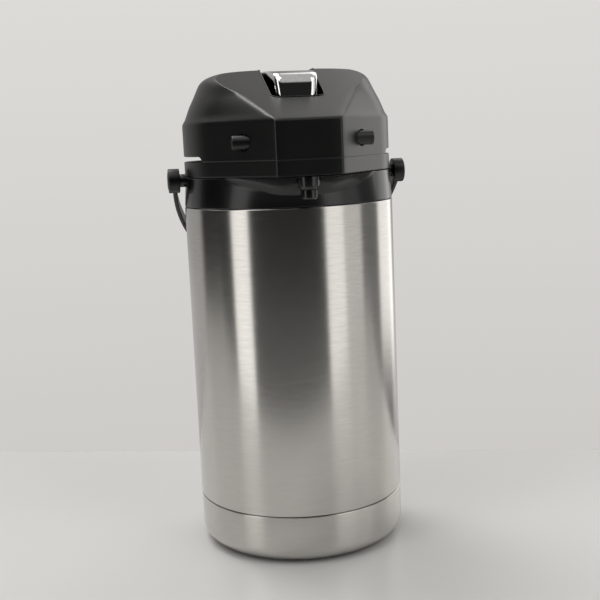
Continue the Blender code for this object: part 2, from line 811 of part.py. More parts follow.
def make_lever(lever):
    """Lever arm on its pivot, and the chrome grip screwed to it."""
    pivot_y, pivot_z = LEVER_PIVOT
    arm = link("lever_arm", box((-12.0, 12.0), (-52.0, pivot_y), (381.0, 386.0)), "black_satin",
               lever)
    boolean_single(arm, rod_x(5.4, -15.6, 15.6, pivot_y, pivot_z), "UNION", "eye")
    boolean_single(arm, rod_x(4.0, -6.0, 6.0, 0, 381.3), "UNION", "nose")
    holes = [rod_x(2.9, -20.0, 20.0, pivot_y, pivot_z, 12)]
    holes.append(moved(rod(1.9, 370.0, 390.0, 12), y=-30.0))
    boolean(arm, holes, "DIFFERENCE")
    bm = bmesh.new()
    outline = grip_profile()
    sides = []
    for side in (-1, 1):
        sides.append([bm.verts.new((side * grip_half_width(front, z), -front, z))
                      for front, z in outline])
    join_rings(bm, sides[0], sides[1])
    bm.faces.new(sides[0])
    bm.faces.new(sides[1])
    grip = link("lever_grip", bm, "chrome", lever)
    boolean(grip, [moved(rod(1.8, 380.0, 392.4, 12), y=-30.0)], "DIFFERENCE")
    shape = screw(3.2, 1.5, 379.0, 380.7, 391.6)
    link("grip_screw", moved(shape, y=-30.0), "bright_steel", lever)


def make_latch(side, name, latch):
    """Round push button that slides along X, with a flange inside the nose."""
    profile = (
        (0, 30.0),
        (3.8, 30.0),
        (3.8, 22.0),
        (BUTTON_R + 2.2, 22.0),
        (BUTTON_R + 2.2, 24.0),
        (BUTTON_R, 24.0),
        (BUTTON_R, BUTTON_REACH - 0.9),
        (BUTTON_R - 0.9, BUTTON_REACH),
        (0, BUTTON_REACH),
    )
    shape = turned([(radius, side * reach) for radius, reach in profile], 20)
    moved(shape, y=-LATCH_FRONT, z=LATCH_Z, turn=ALONG_X)
    link(name, shape, "black_satin", latch)


# ---------------------------------------------------------------- bail handle
def bail_path(extra=0.0, start=0.0, end=180.0, steps=28):
    """Middle line of the strap, a half ellipse that hangs back and down from the pivots."""
    half = BAIL_HALF - STRAP_THICK / 2 + extra
    reach = BAIL_REACH - STRAP_THICK / 2 + extra
    rest = math.radians(BAIL_REST_ANGLE)
    path = []
    for step in range(steps + 1):
        angle = math.radians(start + (end - start) * step / steps)
        along = reach * math.sin(angle)
        path.append((half * math.cos(angle), along * math.cos(rest), BAIL_Z - along * math.sin(rest)))
    return path


def section_box(thick, wide):
    """Rectangular section, with its wide side across the bail's plane."""
    return [(thick / 2, wide / 2), (-thick / 2, wide / 2), (-thick / 2, -wide / 2),
            (thick / 2, -wide / 2)]


def make_bail(bail):
    """Carrying handle: strap with two hubs, a grip sleeve and two hub caps."""
    rest = math.radians(BAIL_REST_ANGLE)
    across = (0, math.sin(rest), math.cos(rest))
    path = bail_path()
    strap = link("bail_strap", swept(path, across, section_box(STRAP_THICK, STRAP_WIDE)),
                 "black_satin", bail)
    hubs = [rod_x(HUB_R, HUB_IN - 0.4, HUB_OUT, 0, BAIL_Z, 24),
            rod_x(HUB_R, -HUB_OUT, -HUB_IN + 0.4, 0, BAIL_Z, 24)]
    boolean(strap, hubs, "UNION")
    bores = [rod_x(3.8, 90.0, 98.7, 0, BAIL_Z), rod_x(3.8, -98.7, -90.0, 0, BAIL_Z)]
    bores += [rod_x(7.4, 99.2, 103.0, 0, BAIL_Z, 20), rod_x(7.4, -103.0, -99.2, 0, BAIL_Z, 20)]
    boolean(strap, bores, "DIFFERENCE")
    sleeve = swept(bail_path(0.3, 62.0, 118.0, 12), across, section_box(7.4, 17.0),
                   section_box(5.4, 13.8))
    link("bail_grip", sleeve, "black_satin", bail)
    link("hub_cap_left", rod_x(7.0, -101.0, -99.5, 0, BAIL_Z, 20), "black_gloss", bail)
    link("hub_cap_right", rod_x(7.0, 99.5, 101.0, 0, BAIL_Z, 20), "black_gloss", bail)


def main():
    """Build the airpot piece by piece."""
    clear_scene()
    make_foot_pad()
    make_base_cup()
    make_outer_shell()
    make_inner_liner()
    make_collar()
    make_neck()
    make_spout_housing()
    make_spout()
    make_siphon()
    make_root_fasteners()
    lid = joint_empty("lid_hinge_axis", 0, HINGE_Y, HINGE_Z)
    make_lid_shell(lid)
    make_lid_base(lid)
    make_bellows(lid)
    make_lid_hardware(lid)
    make_pusher(joint_empty("pusher_axis", 0, 0, 368.3, lid))
    make_lever(joint_empty("lever_axis", 0, *LEVER_PIVOT, lid))
    for side, name in ((-1, "left"), (1, "right")):
        axis = joint_empty("latch_axis_" + name, side * 40.0, -LATCH_FRONT, LATCH_Z, lid)
        make_latch(side, "latch_button_" + name, axis)
    make_bail(joint_empty("bail_axis", 0, 0, BAIL_Z))


main()
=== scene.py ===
# %% [markdown]
# # A thermal airpot with a pump lever
#
# A steel vacuum pot stands on a pale table. A black lid with a nose closes it, a chrome lever
# in the lid pumps the coffee out of a spout under the nose, and a bail handle hangs behind it.
# The fixed frame comes first: it is the mechanical model, and every visible piece below takes
# its place from it. Lengths in the cells are millimetres, turned into metres by MM.

# %% Load the frame
import json
import math

import bmesh
import bpy
from mathutils import Matrix, Vector


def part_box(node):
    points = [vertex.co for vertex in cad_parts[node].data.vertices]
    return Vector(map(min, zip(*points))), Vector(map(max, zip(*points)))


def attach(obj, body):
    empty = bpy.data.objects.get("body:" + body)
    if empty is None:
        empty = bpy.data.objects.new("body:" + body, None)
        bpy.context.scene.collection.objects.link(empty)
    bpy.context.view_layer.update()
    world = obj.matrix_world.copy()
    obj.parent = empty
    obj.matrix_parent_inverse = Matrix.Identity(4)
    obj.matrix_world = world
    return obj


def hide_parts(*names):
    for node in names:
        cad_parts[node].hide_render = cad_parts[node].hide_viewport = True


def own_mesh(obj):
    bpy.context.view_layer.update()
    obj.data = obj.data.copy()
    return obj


MM = 0.001
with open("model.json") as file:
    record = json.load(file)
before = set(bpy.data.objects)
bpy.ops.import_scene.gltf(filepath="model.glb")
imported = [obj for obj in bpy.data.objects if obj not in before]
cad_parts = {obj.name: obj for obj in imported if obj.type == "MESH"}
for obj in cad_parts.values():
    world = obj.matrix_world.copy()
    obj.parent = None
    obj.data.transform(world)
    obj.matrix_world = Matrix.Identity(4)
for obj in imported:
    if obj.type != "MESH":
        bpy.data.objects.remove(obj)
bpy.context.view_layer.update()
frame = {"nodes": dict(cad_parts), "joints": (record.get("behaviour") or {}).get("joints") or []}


# %% [markdown]
# ## Sizes that the looks share
#
# The driving sizes are read off the frame's own nodes, so the looks can't drift away from it.
# Only what a single node can't tell, such as the slope of the lid's front, is a named value.

# %% Sizes read from the frame
def span(node, axis):
    """Lowest and highest value of a node along an axis, in millimetres."""
    low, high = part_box(node)
    return low[axis] / MM, high[axis] / MM


X, Y, Z = 0, 1, 2
BODY_R = span("outer_shell", X)[1]
STEEL_TOP = span("outer_shell", Z)[1]
SEAM_Z = span("base_cup", Z)[1] + 0.3
SHELL_R = span("spout_housing", X)[1]
NOSE_FRONT = -span("spout_housing", Y)[0]
COLLAR_LOW = span("collar", Z)[0]
COLLAR_TOP = 313.2
RING_TOP = 326.2
RING_BOTTOM = 313.7
LID_BOTTOM = span("lid_shell", Z)[0]
LID_TOP = span("lid_shell", Z)[1]
PAD_R = span("foot_pad", X)[1]
PAD_TOP = span("foot_pad", Z)[1]
SPOUT_FRONT = -(sum(span("spout_tip", Y)) / 2)
LATCH_FRONT = -(sum(span("latch_button_left", Y)) / 2)
LATCH_Z = sum(span("latch_button_left", Z)) / 2
BAIL_Z = sum(span("hub_cap_left", Z)) / 2
JOINTS = {joint["name"]: joint for joint in frame["joints"]}
HINGE_Y, HINGE_Z = (value / MM for value in JOINTS["lid_hinge"]["pos_m"][1:])
LEVER_Y, LEVER_Z = (value / MM for value in JOINTS["lever_press"]["pos_m"][1:])
REAR_RIM = HINGE_Z
SHOULDER_Z = 355.9
NOSE_HALF = 24.9
FACET_SLOPE = 0.457
WALL = 2.5
print("body radius", round(BODY_R, 1), "lid top", round(LID_TOP, 1))


# %% [markdown]
# ## The camera
#
# The camera stands a little to the left of the spout, level with the lid's upright band, and is
# tipped down by nine degrees. A long lens keeps the pot's sides almost upright. The camera is
# also turned by a couple of degrees about its own line of sight.

# %% Camera
CAMERA_AROUND = math.radians(-9.3)
CAMERA_AWAY = 854.6
CAMERA_Z = 341.9
CAMERA_PITCH = math.radians(9.18)
CAMERA_YAW = math.radians(0.4)
CAMERA_ROLL = math.radians(-2.54)
SENSOR = 36.0
LENS = 60.2


def make_camera():
    """A camera that looks along +Y, turned by its pitch, yaw and roll, then moved round Z."""
    forward = Vector((
        math.sin(CAMERA_YAW) * math.cos(CAMERA_PITCH),
        math.cos(CAMERA_YAW) * math.cos(CAMERA_PITCH),
        -math.sin(CAMERA_PITCH),
    ))
    right = forward.cross(Vector((0, 0, 1))).normalized()
    up = right.cross(forward)
    rolled_right = math.cos(CAMERA_ROLL) * right + math.sin(CAMERA_ROLL) * up
    rolled_up = -math.sin(CAMERA_ROLL) * right + math.cos(CAMERA_ROLL) * up
    turn = Matrix((rolled_right, rolled_up, -forward)).transposed().to_4x4()
    place = Matrix.Translation(Vector((0, -CAMERA_AWAY, CAMERA_Z)) * MM)
    data = bpy.data.cameras.new("studio_camera")
    data.sensor_width = SENSOR
    data.lens = LENS
    camera = bpy.data.objects.new("studio_camera", data)
    camera.matrix_world = Matrix.Rotation(CAMERA_AROUND, 4, "Z") @ place @ turn
    bpy.context.scene.collection.objects.link(camera)
    bpy.context.scene.camera = camera
    return camera


bpy.context.scene.view_settings.view_transform = "Standard"
print("camera at", make_camera().location)


# %% [markdown]
# ## Shader groups that several finishes share
#
# A node group is a small shader that is built once and used with different values. `surface
# grain` gives the fine texture of moulded plastic and a slow drift in its gloss. `turned
# brushing` gives fine lines that run round the pot's axis: it reads the angle and the height
# of each point, so the lines stay level all the way round.

# %% Node helpers
def add_node(tree, kind, **inputs):
    """Add a shader node and set its named inputs."""
    node = tree.nodes.new(kind)
    for name, value in inputs.items():
        node.inputs[name.replace("_", " ")].default_value = value
    return node


def maths(tree, operation, first, second=None):
    """A maths node on sockets or plain numbers, giving its output socket."""
    node = tree.nodes.new("ShaderNodeMath")
    node.operation = operation
    for index, value in enumerate((first, second)):
        if value is None:
            continue
        if isinstance(value, (int, float)):
            node.inputs[index].default_value = value
        else:
            tree.links.new(value, node.inputs[index])
    return node.outputs[0]


def group_tree(name, inputs, outputs):
    """A new shader group with float inputs and typed outputs."""
    tree = bpy.data.node_groups.new(name, "ShaderNodeTree")
    for label, value in inputs.items():
        socket = tree.interface.new_socket(label, in_out="INPUT", socket_type="NodeSocketFloat")
        socket.default_value = value
    for label in outputs:
        tree.interface.new_socket(label, in_out="OUTPUT", socket_type="NodeSocketFloat")
    return tree, tree.nodes.new("NodeGroupInput"), tree.nodes.new("NodeGroupOutput")


def make_grain_group():
    """Fine moulded texture, and a slow drift that moves the gloss about its middle value."""
    tree, source, result = group_tree(
        "surface grain",
        {"Grain Scale": 2200.0, "Drift Scale": 18.0, "Roughness": 0.4, "Drift": 0.06},
        ("Height", "Roughness"),
    )
    place = tree.nodes.new("ShaderNodeTexCoord")
    grain = add_node(tree, "ShaderNodeTexNoise", Detail=2.0)
    drift = add_node(tree, "ShaderNodeTexNoise", Detail=4.0)
    tree.links.new(place.outputs["Object"], grain.inputs["Vector"])
    tree.links.new(place.outputs["Object"], drift.inputs["Vector"])
    tree.links.new(source.outputs["Grain Scale"], grain.inputs["Scale"])
    tree.links.new(source.outputs["Drift Scale"], drift.inputs["Scale"])
    centred = maths(tree, "SUBTRACT", drift.outputs["Fac"], 0.5)
    moved = maths(tree, "MULTIPLY", centred, source.outputs["Drift"])
    rough = maths(tree, "ADD", moved, source.outputs["Roughness"])
    tree.links.new(grain.outputs["Fac"], result.inputs["Height"])
    tree.links.new(rough, result.inputs["Roughness"])
    return tree


def make_brushing_group():
    """Lines round the Z axis, from noise that is long round the body and short along it."""
    tree, source, result = group_tree(
        "turned brushing",
        {"Lines": 2600.0, "Length": 9.0, "Roughness": 0.3, "Depth": 0.1},
        ("Height", "Roughness", "Shade"),
    )
    place = tree.nodes.new("ShaderNodeTexCoord")
    split = tree.nodes.new("ShaderNodeSeparateXYZ")
    tree.links.new(place.outputs["Object"], split.inputs[0])
    angle = maths(tree, "ARCTAN2", split.outputs["X"], split.outputs["Y"])
    noises = []
    for fineness, drift in ((1.0, 1.0), (0.23, 0.6)):
        joined = tree.nodes.new("ShaderNodeCombineXYZ")
        length = maths(tree, "MULTIPLY", source.outputs["Length"], drift)
        round_x = maths(tree, "MULTIPLY", maths(tree, "SINE", angle), length)
        round_y = maths(tree, "MULTIPLY", maths(tree, "COSINE", angle), length)
        lines = maths(tree, "MULTIPLY", source.outputs["Lines"], fineness)
        tree.links.new(round_x, joined.inputs["X"])
        tree.links.new(round_y, joined.inputs["Y"])
        tree.links.new(maths(tree, "MULTIPLY", split.outputs["Z"], lines), joined.inputs["Z"])
        noise = add_node(tree, "ShaderNodeTexNoise", Scale=1.0, Detail=3.0, Roughness=0.6)
        tree.links.new(joined.outputs[0], noise.inputs["Vector"])
        noises.append(noise.outputs["Fac"])
    height = maths(tree, "ADD", maths(tree, "MULTIPLY", noises[0], 0.6),
                   maths(tree, "MULTIPLY", noises[1], 0.4))
    centred = maths(tree, "SUBTRACT", height, 0.5)
    swing = maths(tree, "MULTIPLY", centred, source.outputs["Depth"])
    rough = maths(tree, "ADD", source.outputs["Roughness"], swing)
    tree.links.new(height, result.inputs["Height"])
    tree.links.new(rough, result.inputs["Roughness"])
    tree.links.new(centred, result.inputs["Shade"])
    return tree


GRAIN = make_grain_group()
BRUSHING = make_brushing_group()
print("groups", GRAIN.name, "and", BRUSHING.name)


# %% [markdown]
# ## Finishes
#
# Each finish is a Principled shader. A value that is the same all over is set on the shader's
# own socket, and what changes over the surface comes through a group. Plastic gets its depth
# from roughness and a fine bump, steel from stretched noise and anisotropy.

# %% Finish helpers
def start_material(name, colour, roughness, **sockets):
    """A Principled material, returned with its tree and its shader."""
    made = bpy.data.materials.new(name)
    made.use_nodes = True
    tree = made.node_tree
    shader = tree.nodes["Principled BSDF"]
    shader.inputs["Base Color"].default_value = (*colour, 1.0)
    shader.inputs["Roughness"].default_value = roughness
    for label, value in sockets.items():
        shader.inputs[label.replace("_", " ")].default_value = value
    return made, tree, shader


def use_group(tree, group, **inputs):
    """Place a shader group in a material with its own values."""
    node = tree.nodes.new("ShaderNodeGroup")
    node.node_tree = group
    for label, value in inputs.items():
        node.inputs[label.replace("_", " ")].default_value = value
    return node


def bump(tree, shader, height, strength, distance):
    """Feed a height into the shader's normal."""
    node = add_node(tree, "ShaderNodeBump", Strength=strength, Distance=distance)
    tree.links.new(height, node.inputs["Height"])
    tree.links.new(node.outputs["Normal"], shader.inputs["Normal"])


def tinted(tree, shader, factor, dark, light):
    """Mix two close colours by a value that changes over the surface."""
    ramp = tree.nodes.new("ShaderNodeValToRGB")
    ramp.color_ramp.elements[0].color = (*dark, 1.0)
    ramp.color_ramp.elements[0].position = 0.25
    ramp.color_ramp.elements[1].color = (*light, 1.0)
    ramp.color_ramp.elements[1].position = 0.75
    tree.links.new(factor, ramp.inputs["Fac"])
    tree.links.new(ramp.outputs["Color"], shader.inputs["Base Color"])


def plastic(name, colour, roughness, drift, grain_scale, grain_strength, **sockets):
    """Moulded plastic or rubber: fine grain, drifting gloss and a slightly mottled colour."""
    made, tree, shader = start_material(name, colour, roughness, **sockets)
    grain = use_group(tree, GRAIN, Grain_Scale=grain_scale, Roughness=roughness, Drift=drift)
    tree.links.new(grain.outputs["Roughness"], shader.inputs["Roughness"])
    bump(tree, shader, grain.outputs["Height"], grain_strength, 0.00012)
    light = [min(1.0, part * 1.3) for part in colour]
    tinted(tree, shader, grain.outputs["Height"], colour, light)
    return made


def brushed(name, colour, roughness, lines, strength):
    """Steel brushed round the body, whose glints stretch up and down."""
    made, tree, shader = start_material(name, colour, roughness, Metallic=1.0, Anisotropic=0.72)
    shader.inputs["Anisotropic Rotation"].default_value = 0.25
    tangent = tree.nodes.new("ShaderNodeTangent")
    tangent.direction_type = "RADIAL"
    tangent.axis = "Z"
    tree.links.new(tangent.outputs[0], shader.inputs["Tangent"])
    brush = use_group(tree, BRUSHING, Lines=lines, Roughness=roughness)
    tree.links.new(brush.outputs["Roughness"], shader.inputs["Roughness"])
    bump(tree, shader, brush.outputs["Height"], strength, 0.00004)
    dark = [part * 0.86 for part in colour]
    light = [min(1.0, part * 1.1) for part in colour]
    tinted(tree, shader, brush.outputs["Height"], dark, light)
    return made


# %% The finishes of this pot
STEEL = brushed("brushed_steel_round_body", (0.60, 0.585, 0.56), 0.20, 2600.0, 0.12)
LINER_STEEL = brushed("drawn_liner_steel", (0.66, 0.66, 0.65), 0.16, 900.0, 0.12)
SATIN = plastic("black_satin_plastic", (0.003, 0.003, 0.0032), 0.32, 0.08, 2600.0, 0.16)
GLOSS = plastic("black_gloss_plastic", (0.003, 0.003, 0.0038), 0.23, 0.05, 900.0, 0.03,
                Coat_Weight=0.1)
GREY = plastic("grey_moulded_plastic", (0.16, 0.165, 0.17), 0.45, 0.08, 1800.0, 0.15)
SILICONE = plastic("milky_silicone", (0.52, 0.52, 0.50), 0.5, 0.1, 1200.0, 0.1,
                   Subsurface_Weight=0.15)
RUBBER = plastic("black_foot_rubber", (0.022, 0.022, 0.022), 0.75, 0.12, 1500.0, 0.3)
FASTENER = plastic("bright_fastener_steel", (0.60, 0.60, 0.59), 0.24, 0.1, 1400.0, 0.08,
                   Metallic=1.0)
CHROME = plastic("chrome_plating", (0.82, 0.82, 0.83), 0.05, 0.04, 500.0, 0.01, Metallic=1.0)
print(len(bpy.data.materials), "materials")


# %% [markdown]
# ## Mesh helpers
#
# A turned piece is a closed outline carried round an axis. `filleted` rounds the corners of
# that outline first, because no real edge is perfectly sharp and the thin line of light on a
# rounded edge is what makes a part look made.

# %% Outlines
def filleted(points, radius, steps=3):
    """Round the corners of a closed outline. A point may carry its own radius as a third value."""
    rounded = []
    count = len(points)
    for index in range(count):
        here = Vector(points[index][:2])
        size = points[index][2] if len(points[index]) > 2 else radius
        before = Vector(points[index - 1][:2]) - here
        after = Vector(points[(index + 1) % count][:2]) - here
        if size <= 0 or before.length < 1e-6 or after.length < 1e-6:
            rounded.append(tuple(here))
            continue
        angle = before.angle(after)
        reach = size / math.tan(angle / 2)
        limit = 0.45 * min(before.length, after.length)
        reach = min(reach, limit)
        start = here + before.normalized() * reach
        end = here + after.normalized() * reach
        for step in range(steps + 1):
            share = step / steps
            near = start.lerp(here, share)
            far = here.lerp(end, share)
            rounded.append(tuple(near.lerp(far, share)))
    return rounded


def arc(centre_a, centre_b, radius, start, end, steps):
    """Points on an arc, from one angle in degrees to another."""
    points = []
    for step in range(steps + 1):
        angle = math.radians(start + (end - start) * step / steps)
        points.append((centre_a + radius * math.cos(angle), centre_b + radius * math.sin(angle)))
    return points


# %% Building bodies
def join_rings(bm, ring, following):
    """Fill the band between two closed rings of equal length."""
    count = len(ring)
    for step in range(count):
        beside = (step + 1) % count
        corners = []
        for vertex in (ring[step], ring[beside], following[beside], following[step]):
            if vertex not in corners:
                corners.append(vertex)
        if len(corners) > 2:
            bm.faces.new(corners)


def join_all(bm, rings, closed=False):
    """Fill the bands along a row of rings, and the one from the last to the first if closed."""
    for ring, following in zip(rings, rings[1:] + (rings[:1] if closed else [])):
        join_rings(bm, ring, following)


def turned(profile, segments):
    """Carry a closed outline of (radius, height) round Z."""
    bm = bmesh.new()
    rings = []
    for radius, height in profile:
        if radius < 1e-6:
            rings.append([bm.verts.new((0, 0, height))] * segments)
            continue
        ring = []
        for step in range(segments):
            angle = math.tau * step / segments
            ring.append(bm.verts.new((radius * math.cos(angle), radius * math.sin(angle), height)))
        rings.append(ring)
    join_all(bm, rings, closed=True)
    return bm


ALONG_X = Matrix.Rotation(math.radians(90), 4, "Y")
TURNED_SHARP = 50


def placed(bm, x=0.0, y=0.0, z=0.0, turn=None):
    """Turn a shape about its origin, then shift it."""
    matrix = Matrix.Translation((x, y, z))
    if turn:
        matrix = matrix @ turn
    bmesh.ops.transform(bm, matrix=matrix, verts=bm.verts)
    return bm


def swept(path, up, section, closed=False):
    """Carry a flat section along a path. The section's second value points along `up`."""
    bm = bmesh.new()
    up = Vector(up)
    points = [Vector(point) for point in path]
    rings = []
    for index, point in enumerate(points):
        before = points[index - 1] if closed or index else point
        after = points[(index + 1) % len(points)] if closed or index < len(points) - 1 else point
        side = (after - before).normalized().cross(up).normalized()
        rings.append([bm.verts.new(point + side * a + up * b) for a, b in section])
    join_all(bm, rings, closed)
    if not closed:
        bm.faces.new(rings[0])
        bm.faces.new(rings[-1])
    return bm


def finish_mesh(name, bm, sharp=35.0):
    """Make a millimetre bmesh into a smooth-shaded object in metres, at the origin."""
    bmesh.ops.remove_doubles(bm, verts=bm.verts, dist=1e-4)
    bmesh.ops.recalc_face_normals(bm, faces=bm.faces)
    bmesh.ops.scale(bm, vec=(MM, MM, MM), verts=bm.verts)
    mesh = bpy.data.meshes.new(name)
    bm.to_mesh(mesh)
    bm.free()
    mesh.shade_smooth()
    mesh.set_sharp_from_angle(angle=math.radians(sharp))
    piece = bpy.data.objects.new(name, mesh)
    bpy.context.scene.collection.objects.link(piece)
    return piece


def apply_modifiers(piece):
    """Swap a piece's mesh for the one that its modifiers give."""
    depsgraph = bpy.context.evaluated_depsgraph_get()
    mesh = bpy.data.meshes.new_from_object(piece.evaluated_get(depsgraph))
    piece.modifiers.clear()
    piece.data = mesh
    return piece


def weld(mesh, near=2e-6):
    """Merge the doubled points and drop the slivers that a boolean can leave."""
    bm = bmesh.new()
    bm.from_mesh(mesh)
    bmesh.ops.remove_doubles(bm, verts=bm.verts, dist=near)
    bmesh.ops.dissolve_degenerate(bm, edges=bm.edges, dist=near)
    bm.to_mesh(mesh)
    bm.free()


def boolean(piece, tools, operation, sharp=35.0):
    """Cut or join a piece with tool shapes, one after another, and remove the tools."""
    for index, bm in enumerate(tools):
        tool = finish_mesh("tool", bm)
        modifier = piece.modifiers.new("boolean_{}".format(index), "BOOLEAN")
        modifier.operation = operation
        modifier.solver = "EXACT"
        modifier.object = tool
        apply_modifiers(piece)
        weld(piece.data)
        bpy.data.objects.remove(tool, do_unlink=True)
    piece.data.shade_smooth()
    piece.data.set_sharp_from_angle(angle=math.radians(sharp))
    return piece


def settle(piece, material, body, slot, *nodes):
    """Give a piece its finish, let it ride on its body and stand for its frame nodes."""
    piece.data.materials.clear()
    piece.data.materials.append(material)
    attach(piece, body)
    if nodes:
        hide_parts(*nodes)
    return piece


# %% [markdown]
# ## The steel body
#
# The casing is one brushed tube with a tiny rolled edge at each end. Below it a steel cup with
# a wide round corner closes the pot, and the dark line between the two is a real gap. The
# liner inside is only seen with the lid open, where its neck shows.

# %% Casing, base cup and foot pad
BODY_SEGMENTS = 192
SKIRT_R = BODY_R - 1.9


def make_casing():
    """Outer steel tube with a stepped skirt that plugs into the base cup."""
    low = SEAM_Z + 0.45
    profile = [
        (SKIRT_R - 1.0, 30.5), (SKIRT_R, 30.5), (SKIRT_R, low), (BODY_R, low, 0.7),
        (BODY_R, STEEL_TOP, 0.9), (83.3, STEEL_TOP), (83.3, STEEL_TOP - 0.8),
        (BODY_R - 1.0, STEEL_TOP - 1.4), (BODY_R - 1.0, low + 1.0), (SKIRT_R - 1.0, low + 0.4),
    ]
    casing = finish_mesh("steel_casing", turned(filleted(profile, 0.15, 4), BODY_SEGMENTS),
                         TURNED_SHARP)
    return settle(casing, STEEL, "root", "brushed_steel", "outer_shell")


def make_base_cup():
    """Steel cup with a round lower corner."""
    outer_r = BODY_R - 0.1
    corner = 13.0
    low = span("base_cup", Z)[0]
    floor = PAD_TOP + 1.7
    profile = [(outer_r, SEAM_Z - 0.35, 0.7)]
    profile += [(a, b, 0) for a, b in arc(outer_r - corner, low + corner, corner, 0, -90, 14)]
    profile += [(PAD_R + 0.6, low), (PAD_R + 0.6, PAD_TOP + 0.3), (0, PAD_TOP + 0.3, 0)]
    profile += [(0, floor, 0), (outer_r - corner, floor, 0)]
    profile += [(a, b, 0) for a, b in arc(outer_r - corner, floor + corner - 1.4, corner - 1.4,
                                          -80, 0, 8)]
    profile += [(outer_r - 1.4, SEAM_Z - 0.35)]
    cup = finish_mesh("steel_base_cup", turned(filleted(profile, 0.2, 4), BODY_SEGMENTS),
                      TURNED_SHARP)
    return settle(cup, STEEL, "root", "brushed_steel", "base_cup")


def make_foot_pad():
    """Non-slip disc with shallow ring grooves in its underside."""
    profile = [(0, 0.0, 0)]
    for radius in (18, 30, 42, 54, 64):
        profile += [(radius - 1.0, 0.0), (radius, 0.7), (radius + 1.0, 0.0)]
    profile += [(PAD_R, 0.0, 0.6), (PAD_R, PAD_TOP, 0.3), (0, PAD_TOP, 0)]
    pad = finish_mesh("rubber_foot_pad", turned(filleted(profile, 0.2), 96))
    return settle(pad, RUBBER, "root", "rubber", "foot_pad")


for made in (make_casing(), make_base_cup(), make_foot_pad()):
    print(made.name, len(made.data.polygons), "faces")


# %% [markdown]
# ## The nosed outline
#
# The lid and the ring under it share one plan: a circle with a flat nose. Two flat sides run
# from the nose's corners and meet the circle as tangents. Above the shoulder the front leans
# back as one flat facet, and the corner points move along two straight creases, so the same
# outline with other values gives every level of the lid.

# %% The outline at one level
CORNER_BEVEL = 1.5
FACET_STEPS = 12
BACK_STEPS = 64
CREASE_TOP_Z = 391.0
CREASE_TOP_HALF = 59.5


def nose_half_outline(radius, half, front, bevel=CORNER_BEVEL):
    """Right half of the outline, front to back, as points of (x, distance to the front)."""
    reach = math.hypot(half, front)
    corner = math.atan2(half, front)
    tangent = corner + max(math.acos(min(radius / reach, 1.0)), math.radians(2))
    end = Vector((radius * math.sin(tangent), radius * math.cos(tangent)))
    start = Vector((half, front))
    along = (end - start).normalized()
    size = min(bevel, 0.3 * (end - start).length)
    first = Vector((half - size, front))
    last = start + along * size
    points = [Vector((0, front)), Vector((half * 0.33, front)), Vector((half * 0.66, front))]
    for step in range(5):
        share = step / 4
        points.append(first.lerp(start, share).lerp(start.lerp(last, share), share))
    for step in range(1, FACET_STEPS):
        points.append(last.lerp(end, step / FACET_STEPS))
    for step in range(BACK_STEPS + 1):
        angle = tangent + (math.pi - tangent) * step / BACK_STEPS
        points.append(Vector((radius * math.sin(angle), radius * math.cos(angle))))
    return points


def nosed_outline(*level):
    """The whole outline as (x, y) points."""
    right = nose_half_outline(*level)
    left = [Vector((-point.x, point.y)) for point in right[-2:0:-1]]
    return [(point.x, -point.y) for point in right + left]


def inset(level, amount):
    """The same outline moved inwards."""
    radius, half, front = level[:3]
    return (radius - amount, half - 0.49 * amount, front - amount, *level[3:])


BASE_LEVEL = (SHELL_R, NOSE_HALF, NOSE_FRONT)


def outline_radius(angle):
    """Distance from the axis to the outline, at an angle from the front in radians."""
    angle = abs(angle)
    corner = math.atan2(NOSE_HALF, NOSE_FRONT)
    tangent = corner + math.acos(SHELL_R / math.hypot(NOSE_HALF, NOSE_FRONT))
    if angle < corner:
        return NOSE_FRONT / math.cos(angle)
    if angle < tangent:
        return SHELL_R / math.cos(tangent - angle)
    return SHELL_R


print(len(nosed_outline(*BASE_LEVEL)), "points round the outline")


# %% [markdown]
# ## The collar
#
# A gloss black band sits on the steel and carries everything at the top: the bail's two
# bosses on its sides, the deck with the neck inside, and a chin in front that slopes out to
# meet the nose. Its wall is turned, the chin is a loft of radial sections, and the two are
# joined with a boolean. The chin's face is hollow like a cove: it runs inwards first, then down.

# %% Collar
BOSS_IN = 86.7
BOSS_OUT = 90.6
DECK_TOP = 309.0
NECK_R = 36.9


def collar_outer_r(height):
    """Outer radius of the collar's wall, which tapers a little towards its top."""
    share = (height - COLLAR_LOW) / (COLLAR_TOP - COLLAR_LOW)
    return BODY_R - 0.1 - 1.7 * share


def make_chin():
    """The sloping bracket under the nose, as a loft of sections round the front."""
    half_angle = 68.0
    drop = 17.0
    cove = 0.8
    parts = 10
    steps = 72
    bm = bmesh.new()
    sections = []
    for step in range(steps + 1):
        angle = math.radians(half_angle * (2 * step / steps - 1))
        share = math.sin(angle) / math.sin(math.radians(half_angle + 2))
        depth = 1 - share * share
        low = COLLAR_TOP - drop * depth
        top_r = outline_radius(angle) - 1.0
        low_r = collar_outer_r(low) - 0.6
        points = [(83.6, COLLAR_TOP), (top_r, COLLAR_TOP)]
        for part in range(1, parts):
            turn = math.pi / 2 * part / parts
            inward = cove * math.sin(turn) + (1 - cove) * part / parts
            down = cove * (1 - math.cos(turn)) + (1 - cove) * part / parts
            points.append((top_r + (low_r - top_r) * inward,
                           COLLAR_TOP + (low - COLLAR_TOP) * down))
        points += [(low_r, low), (84.2, low)]
        ring = []
        for radius, height in points:
            ring.append(bm.verts.new((radius * math.sin(angle), -radius * math.cos(angle), height)))
        sections.append(ring)
    join_all(bm, sections)
    bm.faces.new(sections[0])
    bm.faces.new(sections[-1])
    return bm


def block(x_range, y_range, z_range):
    """A plain block between three pairs of limits, for joining and cutting."""
    bm = bmesh.new()
    bmesh.ops.create_cube(bm, size=1.0)
    for vertex in bm.verts:
        for axis, limits in enumerate((x_range, y_range, z_range)):
            vertex.co[axis] = limits[1] if vertex.co[axis] > 0 else limits[0]
    return bm


